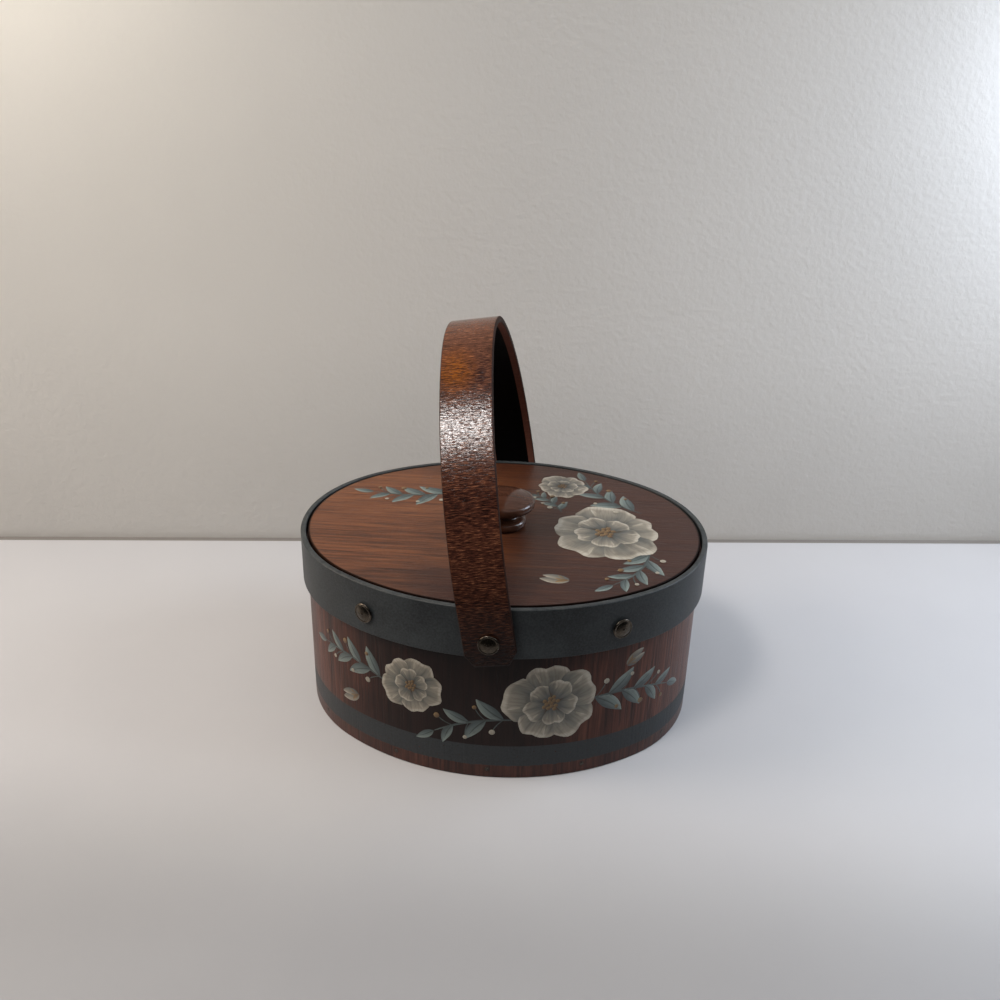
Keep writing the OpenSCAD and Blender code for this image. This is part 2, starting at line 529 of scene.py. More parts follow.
@dataclass(frozen=True)
class Fade:
    """A smooth change along a number: nothing at start, and its full share at end."""

    start: float
    end: float
    share: float = 1.0

    def of(self, graph: Graph, value: Value) -> Socket:
        """The share at a number.

        Args:
            graph: the material's nodes.
            value: the number.

        Returns:
            The share's value.
        """
        step = graph.step(value, self.start, self.end)
        return step if self.share == 1 else graph.times(step, self.share)


@dataclass(frozen=True)
class StainedWood:
    """Stained and varnished wood: broad figure, streaks and fine dark dashes, drawn out along the grain.

    tones run from the darkest streak to the lightest, scales count features per metre, and relief is the
    depth of the grain in metres.
    """

    name: str
    grain: Grain
    tones: Tones
    tone_stops: tuple[float, ...] = (0.36, 0.47, 0.55, 0.66)
    figure_scale: float = 26
    figure_share: float = 0.35
    streak_scale: float = 300
    dash_scale: float = 560
    dash: Fade = Fade(0.47, 0.35, 0.6)
    dash_depth: float = 0.6
    cloud_scale: float = 60
    roughness: float = 0.36
    roughness_reach: float = 0.16
    sheen: float = 0.35
    relief: float = 0.00012

    def where(self, graph: Graph) -> Socket:
        """The coordinates that the grain follows."""
        return graph.place()

    def bare(self, graph: Graph) -> tuple[Socket, Socket]:
        """The bare wood.

        Args:
            graph: the material's nodes.

        Returns:
            Its colour, and the height of its surface from 0 to 1.
        """
        along = graph.stretch(self.where(graph), self.grain.value)
        figure = graph.noise(along, self.figure_scale, 2, 0.5, 0.8)
        streak = graph.noise(along, self.streak_scale, 5, 0.68, 0.3)
        dash = self.dash.of(graph, graph.noise(along, self.dash_scale, 3, 0.6))
        tone = graph.blend(figure, streak, self.figure_share)
        wood = graph.ramp(tone, self.tone_stops, self.tones)
        height = graph.minus(streak, graph.times(dash, self.dash_depth))
        return graph.cover(dash, wood, self.tones[0]), height

    def overlay(self, graph: Graph, wood: Value, height: Value) -> tuple[Value, Value, Value]:
        """What lies over the bare wood; here nothing but a little unevenness of the varnish.

        Args:
            graph: the material's nodes.
            wood: colour of the bare wood.
            height: height of its surface.

        Returns:
            Colour, height and roughness.
        """
        cloud = graph.noise(graph.place(), self.cloud_scale)
        return wood, height, graph.around(cloud, self.roughness, self.roughness_reach)

    def shine(self, graph: Graph) -> Value:
        """How strongly the varnish reflects."""
        return self.sheen

    def material(self) -> Material:
        """Makes the material.

        Returns:
            The finished material.
        """
        graph = Graph(self.name)
        colour, height, rough = self.overlay(graph, *self.bare(graph))
        return graph.finish(
            Base_Color=colour,
            Roughness=rough,
            Normal=graph.bump(height, self.relief),
            Specular_IOR_Level=self.shine(graph),
        )


@dataclass(frozen=True)
class KnobWood(StainedWood):
    """The knob: dark, even wood under the glossiest varnish of the box."""

    name: str = "knob_wood"
    grain: Grain = Grain.ALONG_BOX
    tones: Tones = ((50, 29, 21), (66, 40, 29), (76, 48, 36), (88, 58, 45))
    dash: Fade = Fade(0.47, 0.35, 0.3)
    roughness: float = 0.11
    relief: float = 0.00003


@dataclass(frozen=True)
class BaseWood(StainedWood):
    """The base: paler, unpolished wood."""

    name: str = "base_wood"
    grain: Grain = Grain.ALONG_BOX
    tones: Tones = ((60, 36, 24), (104, 66, 44), (126, 84, 58), (146, 100, 72))
    roughness: float = 0.5


@dataclass(frozen=True)
class WallWood(StainedWood):
    """The wall: upright grain, darkened with umber at the front, with a painted stripe near its foot.

    stripe gives the heights of the stripe's edges: the lower one is ragged, and the upper one is crisper on
    its inside. The umber fades out with the distance along x from umber_middle, at a ragged edge.
    """

    name: str = "wall_wood"
    grain: Grain = Grain.UPRIGHT
    tones: Tones = ((32, 17, 14), (68, 38, 30), (87, 50, 39), (108, 66, 52))
    streak_scale: float = 420
    dash_scale: float = 700
    dash: Fade = Fade(0.47, 0.35, 0.55)
    cloud_scale: float = 26
    roughness_reach: float = 0.2
    sheen: float = 0.2
    stripe: Pair = (0.0088, 0.0231)
    stripe_tones: Tones = ((46, 48, 50), (54, 57, 59))
    stripe_soft: float = 0.0003
    stripe_crisp: float = 0.0002
    stripe_ragged: float = 0.0014
    stripe_roughness: float = 0.1
    stripe_full: Fade = Fade(0.24, 0.36)
    umber: Rgb = (20, 12, 11)
    umber_middle: float = -0.012
    umber_ragged: float = 0.05
    umber_reach: Fade = Fade(0.122, 0.06, 0.92)
    scuff: Rgb = (52, 44, 43)
    scuff_soft: float = 0.001
    scuff_share: float = 0.4
    nail_stain: Rgb = (26, 18, 15)

    def stained(self, graph: Graph, wood: Value, cloud: Value) -> Socket:
        """The wood with umber in the middle over the stripe, scuffs below it, and stains round the brads.

        Args:
            graph: the material's nodes.
            wood: colour of the bare wood.
            cloud: the slow noise that makes the umber's edge ragged.

        Returns:
            The stained wood's colour.
        """
        x, _, z = graph.split(graph.place())
        low, high = self.stripe
        aside = graph.math("ABSOLUTE", graph.minus(x, self.umber_middle))
        reach = graph.plus(aside, graph.times(cloud, self.umber_ragged))
        umber = graph.times(self.umber_reach.of(graph, reach), graph.step(z, low, high))
        colour = graph.cover(umber, wood, self.umber)
        scuffed = Fade(low + self.scuff_soft, low - self.scuff_soft, self.scuff_share)
        colour = graph.cover(scuffed.of(graph, z), colour, self.scuff)
        return graph.cover(graph.attribute("nail"), colour, self.nail_stain)

    def overlay(self, graph: Graph, wood: Value, height: Value) -> tuple[Value, Value, Value]:
        """The stains, and the stripe of thin paint over them.

        Args:
            graph: the material's nodes.
            wood: colour of the bare wood.
            height: height of its surface.

        Returns:
            Colour, height and roughness.
        """
        where = graph.place()
        z = graph.split(where)[Axis.Z.value]
        low, high = self.stripe
        cloud = graph.noise(where, self.cloud_scale)
        level = graph.plus(z, graph.around(graph.noise(where, 320, 2), 0.0, self.stripe_ragged))
        over_low = graph.step(level, low - self.stripe_soft, low + self.stripe_soft)
        under_high = graph.step(z, high + self.stripe_soft, high - self.stripe_crisp)
        inside = graph.times(over_low, under_high)
        paint = graph.ramp(graph.noise(where, 900, 4), (0.3, 0.7), self.stripe_tones)
        full = graph.times(inside, self.stripe_full.of(graph, graph.noise(where, 700)))
        colour = graph.mix(full, self.stained(graph, wood, cloud), paint)
        rough = graph.around(cloud, self.roughness, self.roughness_reach)
        return colour, height, graph.plus(rough, graph.times(inside, self.stripe_roughness))


@dataclass(frozen=True)
class LidWood(StainedWood):
    """The lid: grain along the box, orange-brown at the left and stained dark to the right and the front."""

    name: str = "lid_wood"
    grain: Grain = Grain.ALONG_BOX
    tones: Tones = ((55, 30, 18), (92, 53, 31), (110, 65, 38), (132, 84, 49))
    streak_scale: float = 480
    dash_scale: float = 1100
    cloud_scale: float = 22
    roughness: float = 0.34
    roughness_reach: float = 0.2
    dark: Rgb = (58, 32, 28)
    dark_drift: float = 0.09
    dark_right: Fade = Fade(-0.085, 0.075)
    dark_front: Fade = Fade(-0.03, -0.09)
    dark_front_from: Fade = Fade(-0.1, -0.02)
    stain_share: float = 0.731
    veil_share: float = 0.43
    # painted shade: near black on the lid's rounded edge, where the gap between lid and band lies in shadow
    gap_shade: Rgb = (8, 5, 4)

    def shine(self, graph: Graph) -> Value:
        """The varnish's shine taken off the edge, so that the painted shade of the gap there stays dark."""
        return graph.times(graph.minus(1.0, graph.attribute("rim")), self.sheen)

    def overlay(self, graph: Graph, wood: Value, height: Value) -> tuple[Value, Value, Value]:
        """The stain at one end and along the front, a thin veil of it, and painted shade on the edge itself.

        Args:
            graph: the material's nodes.
            wood: colour of the bare wood.
            height: height of its surface.

        Returns:
            Colour, height and roughness.
        """
        where = graph.place()
        x, y, _ = graph.split(where)
        cloud = graph.noise(where, self.cloud_scale)
        drift = graph.around(cloud, 0.0, self.dark_drift)
        right = self.dark_right.of(graph, graph.plus(x, drift))
        front = graph.times(
            self.dark_front.of(graph, graph.plus(y, drift)),
            self.dark_front_from.of(graph, x),
        )
        dark = graph.larger(right, front)
        colour = graph.stain(graph.times(dark, self.stain_share), wood, self.dark)
        colour = graph.cover(graph.times(dark, self.veil_share), colour, self.dark)
        # painted shade of the gap, over the edge that the rim attribute marks
        colour = graph.cover(graph.attribute("rim"), colour, self.gap_shade)
        return colour, height, graph.around(cloud, self.roughness, self.roughness_reach)


@dataclass(frozen=True)
class HandleWood(StainedWood):
    """The handle's strip: fine grain across it, dimpled varnish, dark sides, a blackened inner face, and
    painted shade and a painted highlight.

    Places are in metres, across the strip from its middle and along it from the middle of its crown, which
    lies crown along it from its front foot. The Fades along the strip count from there too.
    """

    name: str = "handle_wood"
    grain: Grain = Grain.ACROSS_STRIP
    tones: Tones = ((20, 10, 8), (60, 33, 26), (96, 57, 42), (160, 106, 75))
    figure_scale: float = 60
    figure_share: float = 0.12
    streak_scale: float = 2000
    dash_scale: float = 2800
    cloud_scale: float = 70
    roughness: float = 0.1
    roughness_reach: float = 0.1
    sheen: float = 0.68
    relief: float = 0.00014
    crown: float = field(kw_only=True)
    held: Fade = Fade(0.075, 0.055, 0.75)
    dirty: Fade = Fade(0.086, 0.11, 0.65)
    pores: Fade = Fade(0.52, 0.4, 0.7)
    inner_dull: float = 0.9
    side_dull: float = 0.92
    bare_roughness: float = 0.5
    worn: Fade = Fade(0.05, 0.015, 0.22)
    # dim_tone darkens the strip towards its feet, and is painted shade on its right half near the crown
    dim_tone: Rgb = (118, 112, 110)
    foot_dim: Fade = Fade(0.15, 0.215)
    right_shade: Fade = Fade(-0.002, 0.01, 0.12)
    right_shade_reach: Fade = Fade(0.075, 0.05)
    # painted highlight: an amber patch on both sides of the crown, where the varnished wood glows under strong
    # light
    lit_amber: Rgb = (150, 84, 14)
    amber_at: Pair = (-0.006, 0.045)
    amber_narrow: float = 1.6
    amber_ragged: float = 0.012
    amber_reach: Fade = Fade(0.03, 0.008, 0.9)
    amber_grain: Fade = Fade(0.3, 0.62)
    lines: Fade = Fade(0.46, 0.38, 0.55)
    lines_crown: Fade = Fade(0.09, 0.06)
    pits: Fade = Fade(0.48, 0.36, 0.45)
    inner_wood: Rgb = (124, 80, 68)
    inner_share: float = 0.7
    black: Rgb = (1, 1, 1)
    black_left: Fade = Fade(-0.0132, -0.0126)
    black_right: Fade = Fade(0.0104, 0.0098)
    side_dark: Rgb = (36, 21, 16)
    side_share: float = 0.9
    grain_relief: float = 0.4
    pit_relief: float = 0.4
    dimple_relief: float = 0.9

    def where(self, graph: Graph) -> Socket:
        """The strip's own coordinates, across and along it."""
        return graph.surface()

    def from_crown(self, graph: Graph) -> Socket:
        """Distance along the strip from the middle of its crown."""
        along = graph.split(graph.surface())[Axis.Y.value]
        return graph.math("ABSOLUTE", graph.minus(along, self.crown))

    def wide_noise(self, graph: Graph, width: float, scale: float, *form: float) -> Socket:
        """Noise on the strip whose features are so many times wider than they are long.

        Args:
            graph: the material's nodes.
            width: how much wider.
            scale: features per metre along the strip.
            form: the noise's octaves and their weight, and how far it is drawn about.

        Returns:
            The noise's value.
        """
        return graph.noise(graph.stretch(graph.surface(), (1 / width, 1, 1)), scale, *form)

    def shine(self, graph: Graph) -> Value:
        """Varnish that the hand has dulled at the crown and dirt at the feet, open at its pores.

        The sides and the inner face have hardly any.

        Args:
            graph: the material's nodes.

        Returns:
            How strongly it reflects.
        """
        from_crown = self.from_crown(graph)
        dull = graph.larger(self.held.of(graph, from_crown), self.dirty.of(graph, from_crown))
        dull = graph.larger(dull, graph.times(graph.attribute("inner"), self.inner_dull))
        dull = graph.larger(dull, graph.times(graph.attribute("edge"), self.side_dull))
        dull = graph.larger(dull, self.pores.of(graph, self.wide_noise(graph, 1.7, 800, 2, 0.6)))
        return graph.times(graph.minus(1.0, dull), self.sheen)

    def aged(self, graph: Graph, wood: Value, height: Value, cloud: Value) -> Socket:
        """The outer face with its worn crown, darker feet, painted shade on its right half near the crown, a
        painted amber highlight and dark lines.

        Args:
            graph: the material's nodes.
            wood: colour of the bare wood.
            height: height of its surface.
            cloud: the slow noise that makes the amber's edge ragged.

        Returns:
            The face's colour.
        """
        across = graph.split(graph.surface())[Axis.X.value]
        from_crown = self.from_crown(graph)
        colour = graph.cover(self.worn.of(graph, from_crown), wood, self.tones[-1])
        # painted shade down the right half of the strip near its crown
        right = graph.times(self.right_shade.of(graph, across), self.right_shade_reach.of(graph, from_crown))
        dimming = graph.larger(self.foot_dim.of(graph, from_crown), right)
        colour = graph.stain(dimming, colour, self.dim_tone)
        # painted highlight: the amber glow of strongly lit wood, laid into the colour
        aside = graph.times(graph.minus(across, self.amber_at[0]), self.amber_narrow)
        off = graph.minus(from_crown, self.amber_at[1])
        apart = graph.math("SQRT", graph.plus(graph.times(off, off), graph.times(aside, aside)))
        lit_patch = self.amber_reach.of(graph, graph.plus(apart, graph.times(cloud, self.amber_ragged)))
        colour = graph.cover(graph.times(lit_patch, self.amber_grain.of(graph, height)), colour, self.lit_amber)
        lines = self.lines.of(graph, self.wide_noise(graph, 40, 900))
        return graph.cover(graph.times(lines, self.lines_crown.of(graph, from_crown)), colour, self.tones[0])

    def overlay(self, graph: Graph, wood: Value, height: Value) -> tuple[Value, Value, Value]:
        """The aged outer face with pits and dimples, the inner face's black with bare margins, and the sides.

        Args:
            graph: the material's nodes.
            wood: colour of the bare wood.
            height: height of its surface.

        Returns:
            Colour, height and roughness.
        """
        where = graph.surface()
        across = graph.split(where)[Axis.X.value]
        cloud = graph.noise(where, self.cloud_scale)
        pits = self.wide_noise(graph, 4.5, 1500, 2, 0.6)
        dimples = self.wide_noise(graph, 1.7, 560, 1, 0.5, 0.6)
        inner, side = graph.attribute("inner"), graph.attribute("edge")
        colour = self.aged(graph, wood, height, cloud)
        colour = graph.cover(self.pits.of(graph, pits), colour, self.tones[0])
        colour = graph.cover(graph.times(inner, self.inner_share), colour, self.inner_wood)
        lined = graph.times(self.black_left.of(graph, across), self.black_right.of(graph, across))
        colour = graph.cover(graph.times(lined, inner), colour, self.black)
        colour = graph.cover(graph.times(side, self.side_share), colour, self.side_dark)
        rough = graph.around(cloud, self.roughness, self.roughness_reach)
        rough = graph.plus(rough, graph.times(graph.larger(inner, side), self.bare_roughness))
        relief = graph.plus(graph.times(height, self.grain_relief), graph.times(pits, self.pit_relief))
        return colour, graph.plus(relief, graph.times(dimples, self.dimple_relief)), rough


@dataclass(frozen=True)
class BandPaint:
    """Satin grey-green paint on the rim band: fine speckle, rubbed edges and a chip."""

    name: str = "band_paint"
    tones: Tones = ((33, 36, 38), (55, 59, 61))
    speckle_share: float = 0.6
    worn: Rgb = (96, 97, 92)
    worn_share: float = 0.75
    rub: Fade = Fade(0.36, 0.62, 0.3)
    chip_at: Triple = (-0.107, 0.068, 0.1165)
    chip_jagged: float = 0.006
    chip: Fade = Fade(0.0062, 0.0056)
    roughness: float = 0.47
    roughness_reach: float = 0.22
    sheen: float = 0.3
    relief: float = 0.00005

    def material(self) -> Material:
        """Makes the material.

        Returns:
            The finished material.
        """
        graph = Graph(self.name)
        where = graph.place()
        speckle = graph.noise(where, 900, 4, 0.65)
        cloud = graph.noise(where, 36)
        colour = graph.ramp(graph.blend(speckle, cloud, self.speckle_share), (0.38, 0.62), self.tones)
        rubbed = graph.times(graph.attribute("edge"), self.rub.of(graph, graph.noise(where, 210, 4, 0.65)))
        apart = graph.node("ShaderNodeVectorMath", {0: where, 1: self.chip_at}, operation="DISTANCE")
        jagged = graph.times(graph.noise(where, 500, 2), self.chip_jagged)
        chip = self.chip.of(graph, graph.plus(apart.outputs["Value"], jagged))
        bare = graph.times(graph.larger(rubbed, chip), self.worn_share)
        return graph.finish(
            Base_Color=graph.cover(bare, colour, self.worn),
            Roughness=graph.around(cloud, self.roughness, self.roughness_reach),
            Normal=graph.bump(speckle, self.relief),
            Specular_IOR_Level=self.sheen,
        )


@dataclass(frozen=True)
class AntiqueBrass:
    """Dulled brass, slightly clouded, rubbed bright on the rims of the caps."""

    name: str = "antique_brass"
    tones: Tones = ((52, 47, 40), (76, 69, 61), (98, 90, 80))
    cloud_share: float = 0.7
    rubbed: Rgb = (116, 107, 98)
    roughness: float = 0.25
    roughness_reach: float = 0.16
    relief: float = 0.00004

    def material(self) -> Material:
        """Makes the material.

        Returns:
            The finished material.
        """
        graph = Graph(self.name)
        where = graph.place()
        cloud = graph.noise(where, 320, 4, 0.6)
        tarnish = graph.noise(where, 1500)
        colour = graph.ramp(graph.blend(cloud, tarnish, self.cloud_share), (0.34, 0.52, 0.7), self.tones)
        return graph.finish(
            Base_Color=graph.cover(graph.attribute("rim"), colour, self.rubbed),
            Metallic=1.0,
            Roughness=graph.around(tarnish, self.roughness, self.roughness_reach),
            Normal=graph.bump(tarnish, self.relief),
        )


@dataclass(frozen=True)
class DullSteel:
    """Plain darkened steel of brads and screws."""

    name: str = "dull_steel"
    tones: Tones = ((38, 34, 32), (92, 86, 80))
    metallic: float = 0.8
    roughness: float = 0.5
    roughness_reach: float = 0.4
    relief: float = 0.00003

    def material(self) -> Material:
        """Makes the material.

        Returns:
            The finished material.
        """
        graph = Graph(self.name)
        spots = graph.noise(graph.place(), 900, 4, 0.65)
        return graph.finish(
            Base_Color=graph.ramp(spots, (0.36, 0.66), self.tones),
            Metallic=self.metallic,
            Roughness=graph.around(spots, self.roughness, self.roughness_reach),
            Normal=graph.bump(spots, self.relief),
        )


@dataclass(frozen=True)
class BrushPaint:
    """Artist's paint laid on in touches, with the lines of the brush along each one."""

    name: str = "brush_paint"
    line_length: float = 12
    thin: Fade = Fade(0.54, 0.36, 0.32)
    thin_tone: Rgb = (166, 156, 146)
    wash: Fade = Fade(0.5, 0.7, 0.45)
    wash_tone: Rgb = (172, 168, 164)
    roughness: float = 0.4
    roughness_reach: float = 0.2
    relief: float = 0.00008

    def material(self) -> Material:
        """Makes the material.

        Returns:
            The finished material.
        """
        graph = Graph(self.name)
        lines = graph.noise(graph.stretch(graph.surface(), (1, 1 / self.line_length, 1)), 900)
        cloud = graph.noise(graph.place(), 130, 4)
        paint = graph.attribute("paint", "Color")
        colour = graph.stain(self.thin.of(graph, lines), paint, self.thin_tone)
        washed = graph.stain(1.0, paint, self.wash_tone)
        return graph.finish(
            Base_Color=graph.mix(self.wash.of(graph, cloud), colour, washed),
            Roughness=graph.around(lines, self.roughness, self.roughness_reach),
            Normal=graph.bump(lines, self.relief),
        )


@dataclass(frozen=True)
class PalePlaster:
    """A plain pale stage surface with a faint unevenness, and painted shade that may darken it along one axis.
    """

    name: str
    tones: Tones
    roughness: float
    relief: float
    shade: Fade | None = None
    shade_axis: Axis = Axis.Y
    black: Rgb = (0, 0, 0)

    def material(self) -> Material:
        """Makes the material.

        Returns:
            The finished material.
        """
        graph = Graph(self.name)
        where = graph.place()
        colour = graph.ramp(graph.noise(where, 3, 4), (0.3, 0.7), self.tones)
        if self.shade:
            level = graph.split(where)[self.shade_axis.value]
            # painted shade, darkening the surface along the axis
            colour = graph.cover(self.shade.of(graph, level), colour, self.black)
        return graph.finish(
            Base_Color=colour,
            Roughness=self.roughness,
            Normal=graph.bump(graph.noise(where, 220), self.relief),
        )


@dataclass(frozen=True)
class Oval:
    """The wall's outside outline: four arcs that meet without a corner, grown outwards by any amount.

    The arcs' centres are the corners of 3-4-5 triangles, so an end arc turns into a side arc where the
    normal's cosine is 3/5. A point is named by the direction of its normal, an angle from +X towards +Y.
    """

    half_length: float
    half_width: float

    @classmethod
    def packed(cls) -> "Oval":
        """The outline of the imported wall."""
        half_length, half_width, _ = box_mm("body_wall")[1]
        return cls(half_length, half_width)

    @property
    def unit(self) -> float:
        """The length that the arcs' centres and radii are built from."""
        return (self.half_length - self.half_width) / 2

    @property
    def end_r(self) -> float:
        """Radius of the end arcs."""
        return self.half_width - self.unit

    @property
    def side_r(self) -> float:
        """Radius of the side arcs."""
        return self.end_r + 5 * self.unit

    @property
    def side_turn(self) -> float:
        """Half the angle of a side arc, whose sine is 3/5."""
        return math.asin(3 / 5)

    def at(self, angle: np.ndarray, grow: np.ndarray | float = 0.0) -> np.ndarray:
        """Points on the outline: the arc's centre plus its radius along the normal.

        Args:
            angle: directions of the normals.
            grow: distance outwards.

        Returns:
            x and y of each point.
        """
        c, s = np.cos(angle), np.sin(angle)
        end = np.abs(c) >= 3 / 5
        radius = np.where(end, self.end_r, self.side_r) + grow
        x = np.where(end, np.sign(c) * 3 * self.unit, 0) + radius * c
        y = np.where(end, 0, -np.sign(s) * 4 * self.unit) + radius * s
        return np.stack(np.broadcast_arrays(x, y), -1)

    def normal_at(self, angle: float, z: float) -> tuple[Triple, Triple]:
        """A place on the wall's face and the way out of it.

        Args:
            angle: direction of the normal.
            z: height of the place.

        Returns:
            The point and its normal.
        """
        return (*self.at(np.asarray(angle)), z), (math.cos(angle), math.sin(angle), 0)

    def angle_at(self, arc: np.ndarray) -> np.ndarray:
        """The normal's angle at a distance along the wall from the middle of the front, positive to +X.

        Args:
            arc: distances, up to the middle of either end.

        Returns:
            The angles.
        """
        side = self.side_r * self.side_turn
        turn = np.where(np.abs(arc) < side, arc / self.side_r, np.sign(arc) * self.side_turn)
        return turn - math.pi / 2 + np.sign(arc) * np.maximum(np.abs(arc) - side, 0) / self.end_r

    def ring(self, count: int) -> np.ndarray:
        """Angles of points that are evenly spread along the whole outline.

        Args:
            count: how many.

        Returns:
            The angles, from the middle of the right end.
        """
        half = math.pi / 2 - self.side_turn
        side, end = self.side_r * self.side_turn, self.end_r * half
        lengths = np.cumsum([0, end, 2 * side, 2 * end, 2 * side, end])
        angles = [0, half, math.pi - half, math.pi + half, 2 * math.pi - half, 2 * math.pi]
        return np.interp(np.arange(count) / count * lengths[-1], lengths, angles)

    def hoop(self, outline: np.ndarray, count: int) -> tuple[np.ndarray, np.ndarray]:
        """A closed outline of growth and height carried round the oval.

        Args:
            outline: growth and height of each point.
            count: steps round the oval.

        Returns:
            Points in rows round the oval, and their faces.
        """
        angle = self.ring(count)
        xy = self.at(angle[:, None], outline[None, :, 0])
        z = np.broadcast_to(outline[None, :, 1], xy.shape[:2])
        points = np.concatenate([xy, z[..., None]], -1).reshape(-1, 3)
        return points, grid_quads(count, len(outline), True, True)


@dataclass(frozen=True)
class HandleSet:
    """How the handle sits on the box: turned clockwise, seen from above, about its front rivet's place."""

    front_y: float
    pivot_z: float
    turn: float

    @classmethod
    def packed(cls, joint: dict) -> "HandleSet":
        """The setting that a packed hinge gives.

        Args:
            joint: the hinge, with its place in metres and the direction of its axis.

        Returns:
            The setting.
        """
        _, front_y, pivot_z = np.round(np.asarray(joint["pos_m"]) / MM, 3)
        x, y, _ = joint["axis"]
        return cls(front_y, pivot_z, round(math.degrees(math.atan2(x, y)), 3))

    def ways(self, directions: np.ndarray) -> np.ndarray:
        """Turns directions: with t the turn, to x cos t + y sin t and y cos t - x sin t.

        Args:
            directions: the directions before the turn.

        Returns:
            The directions after it.
        """
        c, s = math.cos(math.radians(self.turn)), math.sin(math.radians(self.turn))
        return np.asarray(directions, float) @ np.array([[c, -s, 0], [s, c, 0], [0, 0, 1]])

    def at(self, points: np.ndarray) -> np.ndarray:
        """Turns points about the upright line through the front rivet's place.

        Args:
            points: the points before the turn.

        Returns:
            The points after it.
        """
        front = np.array([0, self.front_y, 0])
        return self.ways(np.asarray(points, float) - front) + front


@dataclass(frozen=True)
class RivetForm:
    """A rivet: a low dome with a rolled rim and a pip, on a shank with a clinched tail."""

    cap_r: float = 6.1
    cap_h: float = 2.4
    rim_r: float = 0.8
    pip_r: float = 1.0
    pip_h: float = 0.35
    shank_r: float = 2.0
    tail_r: float = 3.3
    tail_h: float = 1.1
    tail_at: float = 4.363
    rubbed: float = 0.15
    turn_steps: int = 64
    dome_steps: int = 16

    def outline(self, cap_at: float) -> np.ndarray:
        """Radius and height from the top of the pip to the middle of the tail.

        The dome is a circle through the cap's top and a point 1.5 rim radii up at the rim's middle.
        Pip and rim are finely drawn circles, cut where they cross the dome and then thinned out.

        Args:
            cap_at: height of the cap's underside over the wall's face.

        Returns:
            The outline's points.
        """
        flat_r = self.cap_r - self.rim_r
        rise = self.cap_h - 1.5 * self.rim_r
        dome_r = (flat_r**2 + rise**2) / (2 * rise)
        dome_z = self.cap_h - dome_r
        pip_z = self.cap_h + self.pip_h - self.pip_r
        pip = arc_points((0, pip_z), self.pip_r, 90, 0, 60)
        pip = pip[np.hypot(pip[:, 0], pip[:, 1] - dome_z) > dome_r][::4]
        rim = arc_points((flat_r, self.rim_r), self.rim_r, 180, -90, 90)
        rim = rim[np.hypot(rim[:, 0], rim[:, 1] - dome_z) > dome_r][::5]
        r = np.linspace(pip[-1, 0], rim[0, 0], self.dome_steps)[1:-1]
        dome = np.stack([r, dome_z + np.sqrt(dome_r**2 - r**2)], -1)
        under = [(flat_r, 0), (self.shank_r, 0)]
        low, end = -self.tail_at, -self.tail_at - self.tail_h
        tail = [(self.shank_r, low), (self.tail_r, low), (self.tail_r, end), (0, end)]
        cap = np.concatenate([[(0, pip_z + self.pip_r)], pip[1:], dome, rim, under])
        return np.concatenate([cap + (0, cap_at), tail])

    def shape(self, cap_at: float, base: Sequence[float], axis: Sequence[float]) -> Shape:
        """One rivet, its outline turned about its axis, with its cap's rim marked.

        Args:
            cap_at: height of the cap's underside over the wall's face.
            base: where its axis meets the wall's face.
            axis: its direction out of the wall.

        Returns:
            The rivet's shape.
        """
        outline = self.outline(cap_at)
        points, quads = turned(outline, base, axis, (0, 0, 1), self.turn_steps)
        rim = smooth(outline[:, 0], self.cap_r - 1.5 * self.rim_r, self.cap_r - 0.6 * self.rim_r)
        return Shape(points, quads, floats={"rim": np.tile(self.rubbed * rim, self.turn_steps)})


